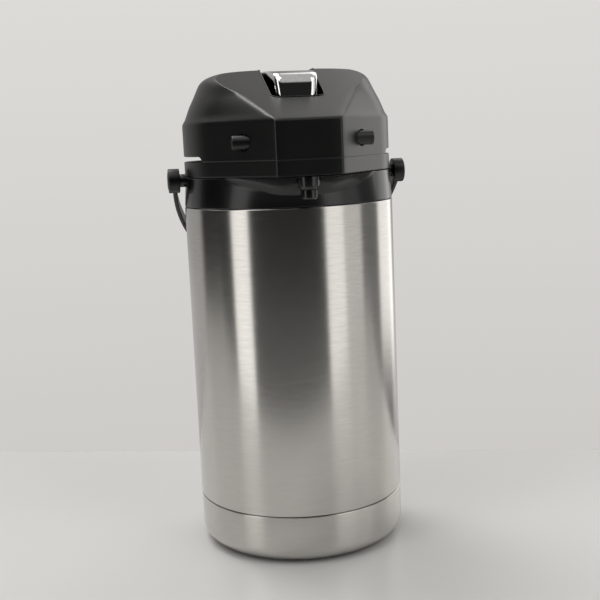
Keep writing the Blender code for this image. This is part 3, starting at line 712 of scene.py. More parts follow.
def rod(radius, start, end, segments=48):
    """A plain round bar on Z, for joining and cutting."""
    return turned([(0, start), (radius, start), (radius, end), (0, end)], segments)


def rod_along_x(radius, start, end, y, z, segments=48):
    """A plain round bar along X."""
    return placed(rod(radius, start, end, segments), y=y, z=z, turn=ALONG_X)


def make_collar():
    """Collar band with its chin, its bail bosses and the seat for the nozzle."""
    wall = 3.0
    inner = collar_outer_r(COLLAR_TOP) - wall
    profile = [
        (84.4, COLLAR_LOW, 0.2), (BODY_R - 0.1, COLLAR_LOW, 0.9),
        (collar_outer_r(COLLAR_TOP), COLLAR_TOP, 0.9), (inner, COLLAR_TOP, 0.3),
        (inner, DECK_TOP, 0.8), (NECK_R + 2.6, DECK_TOP, 0.3), (NECK_R + 2.6, DECK_TOP - wall, 0.2),
        (82.9, DECK_TOP - wall, 0.2),
    ]
    collar = finish_mesh("gloss_collar", turned(filleted(profile, 0.3, 4), BODY_SEGMENTS))
    boolean(collar, [make_chin()], "UNION")
    for side in (-1, 1):
        root = block(sorted((84.0 * side, 87.3 * side)), (-4.5, 4.5), (305.8, COLLAR_TOP - 0.1))
        low, high = sorted((BOSS_IN * side - 1.5 * side, BOSS_OUT * side))
        profile = [(0, low), (5.4, low), (5.4, high), (0, high)]
        boss = placed(turned(filleted(profile, 0.35), 48), z=BAIL_Z, turn=ALONG_X)
        hole = rod_along_x(3.7, *sorted((88.0 * side, 95.0 * side)), 0, BAIL_Z)
        boolean(collar, [root, boss], "UNION")
        boolean(collar, [hole], "DIFFERENCE")
    seat = placed(rod(9.0, 290.5, 316.0, 64), y=-SPOUT_FRONT)
    boolean(collar, [seat], "DIFFERENCE", 32)
    return settle(collar, GLOSS, "root", "black_gloss", "collar")


print(make_collar().name)


# %% [markdown]
# ## The spout housing
#
# The ring with the nose stays on the pot when the lid opens. Its outline is the nosed plan,
# its edges carry a small radius, and its deck is open in the middle for the mouth ring. Three
# screws hold it down, in counterbored holes.

# %% Lofting along nosed levels
EDGE = 0.8
HOLDING_LOOP = 0.5


def level_ring(bm, level, height):
    """Points on one nosed outline. The height may be a function of x and y."""
    return [bm.verts.new((x, y, height(x, y) if callable(height) else height))
            for x, y in nosed_outline(*level)]


def nosed_loft(levels, cap_last=False):
    """Join nosed outlines, given as (level, height), into a skin."""
    bm = bmesh.new()
    rings = [level_ring(bm, *level) for level in levels]
    join_all(bm, rings)
    if cap_last:
        bm.faces.new(rings[-1])
    return bm, rings


# %% Housing ring
HOUSING_SCREW_R = 66.0
HOUSING_SCREW_ANGLES = (90.0, 210.0, 330.0)
EAR_LOW = 317.0
KNUCKLE_R = 4.6
PIN_HOLE_R = 1.8


def hinge_ear(near, far):
    """One ear of the lid hinge: a plate with a round end, standing behind the ring."""
    outline = [(81.0, EAR_LOW), (94.4, EAR_LOW)]
    outline += arc(HINGE_Y, HINGE_Z, KNUCKLE_R, 0, 180, 20)
    outline += [(86.6, 324.3), (81.0, 324.3)]
    bm = bmesh.new()
    first = [bm.verts.new((near, y, z)) for y, z in outline]
    last = [bm.verts.new((far, y, z)) for y, z in outline]
    join_rings(bm, first, last)
    bm.faces.new(first)
    bm.faces.new(last)
    return bm


def make_housing():
    """The fixed ring under the lid, with the nose and the hinge ears."""
    deck = 3.0
    outer = BASE_LEVEL
    levels = [(inset(outer, EDGE), RING_BOTTOM),
              (inset(outer, EDGE * 0.3), RING_BOTTOM + EDGE * 0.3),
              (outer, RING_BOTTOM + EDGE), (outer, RING_BOTTOM + EDGE + HOLDING_LOOP),
              (outer, RING_TOP - EDGE - HOLDING_LOOP), (outer, RING_TOP - EDGE),
              (inset(outer, EDGE * 0.3), RING_TOP - EDGE * 0.3), (inset(outer, EDGE), RING_TOP)]
    bm, rings = nosed_loft(levels)
    hole_r = 52.0
    around = []
    for x, y in nosed_outline(*outer):
        length = math.hypot(x, y)
        around.append((hole_r * x / length, hole_r * y / length))
    inner = nosed_outline(*inset(outer, WALL))
    for plan, z in ((around, RING_TOP), (around, RING_TOP - deck), (inner, RING_TOP - deck),
                    (inner, RING_BOTTOM)):
        rings.append([bm.verts.new((x, y, z)) for x, y in plan])
    last = len(levels) - 1
    join_all(bm, rings[last:] + rings[:1])
    housing = finish_mesh("spout_housing_ring", bm)
    for index, angle in enumerate(HOUSING_SCREW_ANGLES):
        x = HOUSING_SCREW_R * math.cos(math.radians(angle))
        y = HOUSING_SCREW_R * math.sin(math.radians(angle))
        boolean(housing, [placed(rod(5.0, DECK_TOP + 0.4, RING_TOP - 1.5, 32), x, y)], "UNION")
        hole = [(0, 305.0), (1.8, 305.0), (1.8, RING_TOP - 1.8), (3.6, RING_TOP - 1.8),
                (3.6, 330.0), (0, 330.0)]
        boolean(housing, [placed(turned(hole, 32), x, y)], "DIFFERENCE")
    for side in (-1, 1):
        near, far = sorted((12.0 * side, 20.0 * side))
        boolean(housing, [hinge_ear(near, far)], "UNION")
        pin_hole = rod_along_x(PIN_HOLE_R, near - 2, far + 2, HINGE_Y, HINGE_Z, 24)
        boolean(housing, [pin_hole], "DIFFERENCE", 32)
    return settle(housing, SATIN, "root", "black_satin", "spout_housing")


print(make_housing().name)


# %% [markdown]
# ## The lid shell
#
# The lid is the face of this pot. Its lower band is an upright wall on the nosed plan. Above
# a soft shoulder the back and sides draw in to a low dome, while the front leans back as one
# flat facet between two creases. Many levels of the same outline, each only a few millimetres
# above the last, give all of this in one loft, and the lever's slot is cut out afterwards.

# %% The lid's levels
LID_CURVE = (
    (355.9, 86.2), (359.4, 83.7), (363.0, 82.2), (367.0, 80.6), (371.0, 78.9), (375.0, 76.8),
    (378.9, 74.8), (381.8, 73.5), (384.5, 72.2), (387.5, 70.6), (389.4, 69.1), (390.8, 67.6),
    (392.3, 65.4), (393.6, 62.6), (394.7, 59.2), (395.6, 55.6), (396.2, 50.2), (396.7, 43.5),
    (397.1, 34.0), (397.3, 22.0),
)
CREASE_BEVEL = 4.5
SHOULDER_SOFT = 1.5


def lid_radius(height):
    """Radius of the round part of the lid at a height, straight between the curve's points."""
    for (low, low_r), (high, high_r) in zip(LID_CURVE, LID_CURVE[1:]):
        if height <= high:
            return low_r + (high_r - low_r) * (height - low) / (high - low)
    return LID_CURVE[-1][1]


def lid_level(height):
    """Nosed outline of the lid at a height above the shoulder."""
    radius = lid_radius(height)
    front = NOSE_FRONT - (height - SHOULDER_Z) / FACET_SLOPE
    share = (height - SHOULDER_Z) / (CREASE_TOP_Z - SHOULDER_Z)
    half = NOSE_HALF + share * (CREASE_TOP_HALF - NOSE_HALF)
    if height > CREASE_TOP_Z or math.hypot(half, front) < radius:
        half = math.sqrt(radius * radius - front * front)
    return radius, half, front, CREASE_BEVEL


def rim_height(x, y):
    """Lower edge of the lid, which steps up round the back to clear the hinge ears."""
    angle = math.degrees(math.atan2(abs(x), -y))
    share = min(max((angle - 60) / 3, 0.0), 1.0)
    return LID_BOTTOM + (REAR_RIM - LID_BOTTOM) * share


def shoulder_levels():
    """The rounded upper edge of the upright wall, from the wall into the facet and the dome."""
    levels = []
    low = SHOULDER_Z - SHOULDER_SOFT
    above = lid_level(SHOULDER_Z + SHOULDER_SOFT)
    for step in range(5):
        share = step / 4
        level = []
        for wall, end in zip(BASE_LEVEL, above):
            far = wall + (end - wall) * share
            level.append(wall + (far - wall) * share)
        near_z = low + (SHOULDER_Z - low) * share
        far_z = SHOULDER_Z + SHOULDER_SOFT * share
        levels.append((tuple(level), near_z + (far_z - near_z) * share))
    return levels


def outer_lid_levels():
    """All levels of the lid's outer skin, lowest first."""
    levels = [(inset(BASE_LEVEL, EDGE), rim_height),
              (inset(BASE_LEVEL, EDGE * 0.3), lambda x, y: rim_height(x, y) + EDGE * 0.3),
              (BASE_LEVEL, lambda x, y: rim_height(x, y) + EDGE),
              (BASE_LEVEL, lambda x, y: rim_height(x, y) + EDGE + HOLDING_LOOP),
              (BASE_LEVEL, SHOULDER_Z - SHOULDER_SOFT - HOLDING_LOOP)]
    levels += shoulder_levels()
    heights = [height for height, _ in LID_CURVE if height > SHOULDER_Z + SHOULDER_SOFT + 0.6]
    levels += [(lid_level(height), height) for height in heights]
    return levels


print(len(outer_lid_levels()), "levels in the lid's skin")


# %% [markdown]
# ## The lever's slot
#
# The slot is a long opening from the sloping front to the top of the lid. Its plan is drawn
# once and laid on the lid's surface, which is the lower of the facet and the dome. A thin
# raised bead runs round the opening, and a short wall hangs below it, so that no raw shell
# edge and no inside of the lid shows beside the lever.

# %% Slot outline and the surface it lies on
SLOT_FRONT = 70.0
SLOT_BACK = 18.0
SLOT_HALF_FRONT = 20.6
SLOT_HALF_BACK = 23.0
SLOT_CORNER = 5.0
SLOT_DEPTH = 11.0
SLOT_WALL_LOW = 388.6


def facet_height(y):
    """Height of the sloping front at a place along Y."""
    return SHOULDER_Z + (NOSE_FRONT + y) * FACET_SLOPE


def dome_height(radius):
    """Height of the round part of the lid at a distance from the axis."""
    for (low, low_r), (high, high_r) in zip(LID_CURVE, LID_CURVE[1:]):
        if radius >= high_r:
            return low + (high - low) * (low_r - radius) / (low_r - high_r)
    return LID_TOP


def lid_surface(x, y):
    """Height of the lid's skin over a point of the plan."""
    return min(facet_height(y), dome_height(math.hypot(x, y)))


def slot_outline(grow=0.0):
    """Plan of the slot, with round front corners, as a closed list of (x, y)."""
    front = SLOT_FRONT + grow
    back = SLOT_BACK + grow
    half_front = SLOT_HALF_FRONT + grow
    half_back = SLOT_HALF_BACK + grow
    corner = SLOT_CORNER + grow
    right = []
    for step in range(17):
        share = step / 16
        right.append((half_back + (half_front - half_back) * share,
                      back + (corner - front - back) * share))
    right += [(half_front - corner + a, -front + corner - b)
              for a, b in arc(0, 0, corner, 0, 90, 10)[1:]]
    right += [(x, -front) for x in (9.0, 4.0)]
    left = [(-x, y) for x, y in reversed(right)]
    return right + [(0.0, -front)] + left


def ring_band(levels):
    """A closed band through several rings of equal length, given as lists of points."""
    bm = bmesh.new()
    join_all(bm, [[bm.verts.new(point) for point in ring] for ring in levels], closed=True)
    return bm


def slot_wall():
    """The short wall below the slot's edge, before the opening is cut through it."""
    inner = slot_outline(-0.6)
    outer = slot_outline(1.6)
    low = [max(lid_surface(x, y) - SLOT_DEPTH, SLOT_WALL_LOW if y > 0 else 0) for x, y in inner]
    high_in = [(x, y, lid_surface(x, y) - 1.2) for x, y in inner]
    high_out = [(x, y, lid_surface(x, y) - 1.2) for x, y in outer]
    low_in = [(x, y, z) for (x, y), z in zip(inner, low)]
    low_out = [(x, y, z) for (x, y), z in zip(outer, low)]
    return ring_band([low_in, low_out, high_out, high_in])


def slot_cutter():
    """A block with the slot's plan."""
    bm = bmesh.new()
    low = [bm.verts.new((x, y, 355.0)) for x, y in slot_outline()]
    high = [bm.verts.new((x, y, 405.0)) for x, y in slot_outline()]
    join_rings(bm, low, high)
    bm.faces.new(low)
    bm.faces.new(high)
    return bm


print(len(slot_outline()), "points round the slot")


# %% Lid shell
POST_X = 60.0
PLATE_TOP = 331.3
LID_SHARP = 28
BUTTON_R = 5.6
BUTTON_REACH = span("latch_button_right", X)[1]


def make_lid_shell():
    """The lid's skin, with the slot, the latch holes, the screw posts and the hinge knuckle."""
    outer, outer_rings = nosed_loft(outer_lid_levels(), cap_last=True)
    inner_levels = [(inset(BASE_LEVEL, WALL), rim_height),
                    (inset(BASE_LEVEL, WALL), SHOULDER_Z - WALL)]
    inner_levels += [(inset(lid_level(height), WALL), height - WALL)
                     for height, _ in LID_CURVE if height > SHOULDER_Z + 2]
    rings = [level_ring(outer, *level) for level in inner_levels]
    join_all(outer, rings)
    outer.faces.new(rings[-1])
    join_rings(outer, outer_rings[0], rings[0])
    shell = finish_mesh("nosed_lid_shell", outer, LID_SHARP)
    boolean(shell, [slot_wall()], "UNION", LID_SHARP)
    for side in (-1, 1):
        post = placed(rod(4.5, PLATE_TOP + 0.4, 391.0, 32), x=side * POST_X)
        hole = placed(rod(1.8, 325.0, 345.0, 24), x=side * POST_X)
        near, far = sorted((17.0 * side, 22.0 * side))
        ear = block((near, far), (LEVER_Y - 8.0, LEVER_Y + 3.4), (376.0, 394.3))
        boolean(shell, [post, ear], "UNION", LID_SHARP)
        boolean(shell, [hole], "DIFFERENCE", LID_SHARP)
    arm = block((-11.4, 11.4), (83.2, HINGE_Y), (REAR_RIM + 0.6, HINGE_Z + 4.5))
    knuckle_profile = filleted([(0, -11.5), (KNUCKLE_R, -11.5), (KNUCKLE_R, 11.5), (0, 11.5)], 0.4)
    knuckle = placed(turned(knuckle_profile, 40), y=HINGE_Y, z=HINGE_Z, turn=ALONG_X)
    boolean(shell, [arm, knuckle], "UNION", LID_SHARP)
    holes = [slot_cutter(), rod_along_x(BUTTON_R + 1.0, -62.0, 62.0, -LATCH_FRONT, LATCH_Z, 64)]
    holes += [rod_along_x(2.8, -25.0, 25.0, LEVER_Y, LEVER_Z, 24),
              rod_along_x(PIN_HOLE_R, -14.0, 14.0, HINGE_Y, HINGE_Z, 24)]
    boolean(shell, holes, "DIFFERENCE", LID_SHARP)
    return settle(shell, SATIN, "lid", "black_satin", "lid_shell")


def make_slot_bead():
    """The thin raised edge round the slot."""
    section = arc(0, 0, 0.55, 0, 315, 7)
    path = [(x, y, lid_surface(x, y) + 0.05) for x, y in slot_outline(0.35)]
    bead = finish_mesh("slot_edge_bead", swept(path, (0, 0, 1), section, closed=True), 60)
    return settle(bead, SATIN, "lid", "black_satin")


for made in (make_lid_shell(), make_slot_bead()):
    print(made.name, len(made.data.polygons), "faces")


# %% [markdown]
# ## The chrome lever
#
# The lever is what a hand presses. Its grip is a plated shell with a flat top, a full round
# nose and a leaning front, and it is wider above than at its foot. It is lofted across from
# side to side: near the sides the outline draws back and drops, which rounds the edges and
# the front corners in one go.

# %% Lever grip and arm
GRIP_FOOT_Z = 364.0
GRIP_FOOT_HALF = 14.4
GRIP_FRONT = 66.5
GRIP_LEAN = 0.11
GRIP_SPREAD = 0.045


def grip_outline():
    """Side outline of the grip as (distance to the front, height), going round once."""
    points = [(-15.0, 386.5), (-15.0, 392.0), (-14.8, 395.4), (-14.0, 396.2), (-6.0, 396.2),
              (4.0, 396.2), (12.0, 396.15), (20.0, 395.9), (28.0, 395.45), (36.0, 394.7),
              (44.0, 393.6), (50.0, 392.1)]
    points += arc(54.3, 381.2, 11.6, 68, 6, 14)
    points += [(66.3, 379.0), (66.5, 374.0), (66.5, 369.0), (66.4, 365.0), (65.4, 364.0),
               (63.6, 364.0), (62.8, 364.6), (62.7, 370.0), (62.6, 376.0), (60.0, 382.5),
               (54.0, 386.5), (40.0, 386.5), (20.0, 386.5), (0.0, 386.5)]
    return points


def grip_half_width(front, height):
    """The grip's sides lean inwards towards its foot and spread towards its back."""
    lean = (height - GRIP_FOOT_Z) * GRIP_LEAN
    return GRIP_FOOT_HALF + lean + (GRIP_FRONT - front) * GRIP_SPREAD


def rounded_drop(distance, radius):
    """How far a quarter-round edge falls away, this close to its end."""
    inside = max(radius - distance, 0.0)
    return radius - math.sqrt(max(radius * radius - inside * inside, 0.0))


def make_grip():
    """Loft of side outlines from the left side to the right."""
    bm = bmesh.new()
    edge = 1.6
    corner = 6.0
    shares = [math.sin(math.pi / 2 * (step / 20 - 1)) for step in range(41)]
    rings = []
    for share in shares:
        ring = []
        for front, height in grip_outline():
            half = grip_half_width(front, height)
            beside = half * (1 - abs(share))
            weight = min(max((front - 40.0) / 14.0, 0.0), 1.0)
            on_top = min(max((height - 388.0) / 5.0, 0.0), 1.0)
            back = rounded_drop(beside, corner) * weight if front > 62.75 or height > 388 else 0
            down = rounded_drop(beside, edge) * on_top
            ring.append(bm.verts.new((share * half, -(front - 0.8 * back), height - down)))
        rings.append(ring)
    join_all(bm, rings)
    bm.faces.new(rings[0])
    bm.faces.new(rings[-1])
    grip = finish_mesh("chrome_lever_grip", bm, 40)
    screw_hole = placed(rod(1.8, 380.0, 392.4, 24), y=-30.0)
    boolean(grip, [screw_hole], "DIFFERENCE", 40)
    return settle(grip, CHROME, "lever", "chrome", "lever_grip")


def make_lever_arm():
    """Moulded arm under the grip, with the eye for the pivot pin and a round pushing nose."""
    bm = block((-12.0, 12.0), (-52.0, LEVER_Y), (381.0, 386.0))
    bmesh.ops.bevel(bm, geom=bm.edges[:], offset=0.6, segments=2, affect="EDGES")
    arm = finish_mesh("lever_arm_moulding", bm)
    profile = filleted([(0, -15.6), (5.4, -15.6), (5.4, 15.6), (0, 15.6)], 0.5)
    eye = placed(turned(profile, 48), y=LEVER_Y, z=LEVER_Z, turn=ALONG_X)
    boolean(arm, [eye, rod_along_x(4.0, -6.0, 6.0, 0, 381.3)], "UNION")
    holes = [rod_along_x(2.9, -20.0, 20.0, LEVER_Y, LEVER_Z, 32),
             placed(rod(1.9, 370.0, 390.0, 24), y=-30.0)]
    boolean(arm, holes, "DIFFERENCE")
    return settle(arm, SATIN, "lever", "black_satin", "lever_arm")


for made in (make_grip(), make_lever_arm()):
    print(made.name, len(made.data.polygons), "faces")


# %% [markdown]
# ## Latch buttons, nozzle and tip
#
# Two round buttons stick out of the nose's sides. Squeezed together they free the lid. The
# nozzle hangs under the nose in two steps, wide and then narrow, with a real bore. All four
# are turned shapes with small radii.

# %% Latch buttons
def make_latch(side, name):
    """One push button on its own slide, with a flange that keeps it in the nose."""
    flange = BUTTON_R + 2.2
    profile = [(0, 24.4, 0), (3.8, 24.4), (3.8, 22.0), (flange, 22.0), (flange, 24.0),
               (BUTTON_R, 24.0), (BUTTON_R, BUTTON_REACH, 0.9), (0, BUTTON_REACH, 0)]
    outline = [(radius, side * reach) for radius, reach in filleted(profile, 0.25)]
    button = placed(turned(outline, 64), y=-LATCH_FRONT, z=LATCH_Z, turn=ALONG_X)
    piece = finish_mesh("push_button_" + name, button, TURNED_SHARP)
    return settle(piece, SATIN, "latch_" + name, "black_satin", "latch_button_" + name)


for side, name in ((-1, "left"), (1, "right")):
    print(make_latch(side, name).name)


# %% Nozzle and tip
def make_spout():
    """Wide nozzle and narrow tip."""
    nozzle = [(4.8, 303.4, 0.1), (6.8, 303.4), (8.2, 305.6), (8.7, 313.3), (7.4, 313.3, 0.1),
              (7.4, 314.1, 0.1), (5.2, 314.1, 0.1)]
    tip = [(3.4, 296.0, 0.4), (5.4, 296.0, 0.5), (6.4, 297.2), (6.4, 303.1, 0.4), (4.2, 303.1),
           (4.2, 306.0, 0.2), (3.4, 306.0, 0.2)]
    made = []
    for name, profile, node in (("spout_nozzle_cup", nozzle, "spout_nozzle"),
                                ("spout_drip_tip", tip, "spout_tip")):
        shape = placed(turned(filleted(profile, 0.5), 64), y=-SPOUT_FRONT)
        piece = finish_mesh(name, shape, TURNED_SHARP)
        made.append(settle(piece, GLOSS, "root", "black_gloss", node))
    return made


print([made.name for made in make_spout()])


# %% [markdown]
# ## The carrying handle
#
# The bail is a flat strap bent into half an ellipse. It hangs behind the pot at rest. Its
# section has soft corners, each end is joined to a round hub with a cap, and a thicker grip
# sits on the middle. All of it follows one ellipse, so the sleeve can't miss the strap.

# %% Bail strap and hubs
BAIL_HALF = 97.0
BAIL_REACH = 133.0
BAIL_REST = math.radians(42.0)
STRAP_THICK = 3.5
STRAP_WIDE = 13.0
HUB_R = 10.0
HUB_IN = 91.4
HUB_OUT = 100.2
SLEEVE_SHIFT = 0.3
RIB_LIFT = 3.45
ACROSS_BAIL = Vector((0, math.sin(BAIL_REST), math.cos(BAIL_REST)))


def bail_path(extra=0.0, start=0.0, end=180.0, steps=96):
    """Middle line of the strap, from one pivot back and down and up to the other."""
    half = BAIL_HALF - STRAP_THICK / 2 + extra
    reach = BAIL_REACH - STRAP_THICK / 2 + extra
    path = []
    for step in range(steps + 1):
        angle = math.radians(start + (end - start) * step / steps)
        along = reach * math.sin(angle)
        path.append((half * math.cos(angle), along * math.cos(BAIL_REST),
                     BAIL_Z - along * math.sin(BAIL_REST)))
    return path


def soft_rectangle(thick, wide, radius):
    """Section with rounded corners."""
    corners = [(thick / 2, wide / 2), (-thick / 2, wide / 2), (-thick / 2, -wide / 2),
               (thick / 2, -wide / 2)]
    return filleted(corners, radius, 4)


def make_bail():
    """Strap with its two hubs, joined into one moulding."""
    strap_shape = swept(bail_path(), ACROSS_BAIL, soft_rectangle(STRAP_THICK, STRAP_WIDE, 1.1))
    strap = finish_mesh("bail_handle_strap", strap_shape)
    for side in (-1, 1):
        low = side * (HUB_IN - 0.4)
        high = side * HUB_OUT
        profile = [(0, low, 0), (HUB_R, low, 0.6), (HUB_R, high, 0.9), (0, high, 0)]
        hub = placed(turned(filleted(profile, 0.6, 4), 72), z=BAIL_Z, turn=ALONG_X)
        bore = rod_along_x(3.8, *sorted((90.0 * side, 98.7 * side)), 0, BAIL_Z)
        seat = rod_along_x(7.4, *sorted((99.2 * side, 103.0 * side)), 0, BAIL_Z, 64)
        boolean(strap, [hub], "UNION")
        boolean(strap, [bore, seat], "DIFFERENCE")
    return settle(strap, SATIN, "bail", "black_satin", "bail_strap")


def make_hub_cap(side, name):
    """Glossy cap in the middle of a hub, slightly crowned."""
    profile = [(0, 99.5, 0), (7.0, 99.5, 0.2), (7.0, 100.7, 0.3), (5.0, 100.95, 0.5), (0, 101.0, 0)]
    outline = [(radius, side * reach) for radius, reach in filleted(profile, 0.3)]
    cap = placed(turned(outline, 64), z=BAIL_Z, turn=ALONG_X)
    piece = finish_mesh("bail_hub_cap_" + name, cap, TURNED_SHARP)
    return settle(piece, GLOSS, "bail", "black_gloss", "hub_cap_" + name)


for made in (make_bail(), make_hub_cap(-1, "left"), make_hub_cap(1, "right")):
    print(made.name, len(made.data.polygons), "faces")


# %% Grip sleeve
def make_sleeve():
    """Hollow grip round the middle of the strap, with rounded ends."""
    path = [Vector(point) for point in bail_path(SLEEVE_SHIFT, 62.0, 118.0, 48)]
    bm = bmesh.new()
    outer = []
    inner = []
    last = len(path) - 1
    for index, point in enumerate(path):
        before = path[max(index - 1, 0)]
        after = path[min(index + 1, last)]
        side = (after - before).normalized().cross(ACROSS_BAIL).normalized()
        ends = min(index, last - index)
        shrink = (0.8, 0.3, 0.0)[min(ends, 2)]
        for rings, thick, wide, radius in ((outer, 7.4 - 2 * shrink, 17.0 - 2 * shrink, 2.6),
                                           (inner, 5.4, 13.8, 1.0)):
            section = soft_rectangle(thick, wide, radius)
            rings.append([bm.verts.new(point + side * a + ACROSS_BAIL * b) for a, b in section])
    for rings in (outer, inner):
        join_all(bm, rings)
    for end in (0, -1):
        join_rings(bm, outer[end], inner[end])
    sleeve = finish_mesh("bail_grip_sleeve", bm)
    return settle(sleeve, SATIN, "bail", "black_satin", "bail_grip")


print(make_sleeve().name)


# %% [markdown]
# ## Inside the pot
#
# With the lid open the neck, the mouth ring and its gasket show, and under the lid the base
# plate and its seal. These are turned again at full smoothness. The bellows and the pump disc
# work out of sight between the plate and the lever, and they are made with the same care,
# because the pieces are also looked at one by one.

# %% Liner, gaskets, mouth ring
def turned_piece(name, profile, material, body, slot, node, segments=96, radius=0.15, y=0.0):
    """Turn a profile about an upright axis and settle it as a finished piece."""
    shape = placed(turned(filleted(profile, radius), segments), y=y)
    return settle(finish_mesh(name, shape, TURNED_SHARP), material, body, slot, node)


LINER_R = 75.0
LINER_WALL = 0.9
PIPE_Z = 318.4
TO_FRONT = Matrix.Rotation(math.radians(90), 4, "X")
LINER_WELD = span("liner_cup", Z)[1]
NECK_TOP = span("liner_shoulder", Z)[1]


def make_liner():
    """The drawn cup, and above the weld the shoulder and the neck."""
    low = [(a, b, 0) for a, b in arc(LINER_R - 22, 34.4, 22, -75, 0, 16)]
    low_in = [(a, b, 0) for a, b in arc(LINER_R - 22, 34.4, 22 - LINER_WALL, 0, -75, 16)]
    cup = [(0, 11.0, 0), (40.0, 12.4, 2.0)] + low
    cup += [(LINER_R, LINER_WELD), (LINER_R - LINER_WALL, LINER_WELD)] + low_in
    cup += [(40.0, 12.4 + LINER_WALL, 2.0), (0, 11.0 + LINER_WALL, 0)]
    high = [(a, b, 0) for a, b in arc(LINER_R - 26, 262.0, 26, 0, 62, 16)]
    high_in = [(a, b, 0) for a, b in arc(LINER_R - 26, 262.0, 26 - LINER_WALL, 62, 0, 16)]
    neck_in = NECK_R - LINER_WALL
    top = [(LINER_R, LINER_WELD + 0.3)] + high
    top += [(NECK_R + 3, 293.5, 3.0), (NECK_R, 297.0, 3.0), (NECK_R, NECK_TOP, 0.3)]
    top += [(neck_in, NECK_TOP, 0.3), (neck_in, 296.0, 3.0), (NECK_R + 2.4, 292.3, 3.0)]
    top += high_in + [(LINER_R - LINER_WALL, LINER_WELD + 0.3)]
    made = [turned_piece("liner_lower_cup", cup, LINER_STEEL, "root", "bright_steel", "liner_cup")]
    made.append(turned_piece("liner_upper_half", top, LINER_STEEL, "root", "bright_steel",
                             "liner_shoulder"))
    return made


def make_mouth():
    """Neck gasket, and the mouth ring that the lid seals on."""
    gasket = [(NECK_R + 0.4, DECK_TOP - 3.5), (NECK_R + 2.3, DECK_TOP - 3.5),
              (NECK_R + 2.3, DECK_TOP), (NECK_R + 0.4, DECK_TOP)]
    ring = [(NECK_R + 0.5, DECK_TOP + 0.4), (48.0, DECK_TOP + 0.4), (48.0, 312.5), (45.0, 313.5),
            (45.0, 325.0), (44.5, 325.5), (39.0, 325.5, 0.6), (36.5, 322.5, 1.5),
            (36.5, NECK_TOP + 0.4), (NECK_R + 0.5, NECK_TOP + 0.4)]
    seal = turned_piece("neck_seal", gasket, SILICONE, "root", "silicone", "neck_gasket")
    mouth = turned_piece("pouring_mouth_ring", ring, GREY, "root", "grey_plastic", "mouth_ring")
    hole = placed(rod(4.4, 30.0, 50.0, 32), z=PIPE_Z, turn=TO_FRONT)
    boolean(mouth, [hole], "DIFFERENCE", TURNED_SHARP)
    return [seal, mouth]


print([made.name for made in make_liner() + make_mouth()])


# %% Base plate of the lid, bellows and pump disc
PLATE_BOTTOM = 328.3
PLATE_R = 72.6


def make_lid_base():
    """Plate under the lid with stiffening ribs, and the gasket that presses on the mouth."""
    plate = [(10.0, PLATE_BOTTOM), (36.0, PLATE_BOTTOM), (36.6, PLATE_BOTTOM + 0.5),
             (37.2, PLATE_BOTTOM), (46.4, PLATE_BOTTOM), (47.0, PLATE_BOTTOM + 0.5),
             (47.6, PLATE_BOTTOM), (PLATE_R, PLATE_BOTTOM, 0.8), (PLATE_R, PLATE_TOP, 0.4),
             (50.0, PLATE_TOP), (50.0, PLATE_TOP + 5.0), (48.0, PLATE_TOP + 5.0),
             (48.0, PLATE_TOP), (10.0, PLATE_TOP)]
    gasket = [(38.6, 325.8, 0.5), (44.4, 325.8, 0.5), (44.4, 327.2), (43.4, 328.0),
              (39.6, 328.0), (38.6, 327.2)]
    base = turned_piece("lid_underside_plate", plate, GREY, "lid", "grey_plastic",
                        "lid_base_plate", radius=0.3)
    for side in (-1, 1):
        hole = [(0, 327.0), (3.6, 327.0), (3.6, PLATE_BOTTOM + 1.7), (1.9, PLATE_BOTTOM + 1.7),
                (1.9, 333.0), (0, 333.0)]
        boolean(base, [placed(turned(hole, 32), x=side * POST_X)], "DIFFERENCE", TURNED_SHARP)
    seal = turned_piece("lid_mouth_seal", gasket, SILICONE, "lid", "silicone", "lid_gasket")
    return [base, seal]


def shorten(piece):
    """Give a piece a mesh of its own."""
    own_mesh(piece)


def make_pump():
    """Pleated bellows, the disc that presses it, and the flap over the disc's air hole."""
    low, high = span("bellows", Z)
    pleats = 4
    thickness = 1.3
    outside = []
    for step in range(2 * pleats + 1):
        radius = 46.0 if step % 2 else 40.0
        outside.append((radius, low + (high - low) * step / (2 * pleats), 0.9))
    inside = [(radius - thickness, height, soft) for radius, height, soft in reversed(outside)]
    disc = [(0, 368.3, 0), (39.4, 368.3), (40.0, 368.9), (40.0, 371.3, 0.4), (6.0, 371.3, 0.8),
            (6.0, 376.2), (5.3, 376.9), (0, 376.9, 0)]
    flap = [(7.0, 371.6), (16.0, 371.6), (16.0, 372.4), (7.0, 372.6)]
    air = turned_piece("air_bellows", outside + inside, SILICONE, "lid", "silicone", "bellows")
    shorten(air)
    return [
        air,
        turned_piece("bellows_press_disc", disc, GREY, "pusher", "grey_plastic", "pump_disc"),
        turned_piece("air_intake_flap", flap, SILICONE, "pusher", "silicone", "intake_flap"),
    ]


print([made.name for made in make_lid_base() + make_pump()])


# %% [markdown]
# ## Pins, tubes and screws that stay as they are
#
# Some parts of the frame already have their true shape: a pin is a pin. They keep the frame's
# mesh and only take a finish.

# %% Finishes on the frame's own pieces
KEPT = {
    FASTENER: ("hinge_pin", "bail_pin_left", "bail_pin_right", "lever_pin", "grip_screw"),
    SILICONE: ("siphon_seal",),
    LINER_STEEL: ("siphon_tube",),
    GREY: ("delivery_pipe",),
}
for finish, names in KEPT.items():
    for name in names:
        node = frame["nodes"][name]
        for material_slot in node.material_slots:
            material_slot.material = finish
print(sum(len(names) for names in KEPT.values()), "pieces keep the frame's mesh")


# %% [markdown]
# ## Geometry Nodes for what repeats
#
# Springs and screws follow rules, so each gets a small tree with named inputs: a spring is a
# spiral with a round wire, and the screws are one screw placed on a circle of points. The
# result is baked to a plain mesh, because instances and live modifiers don't export.

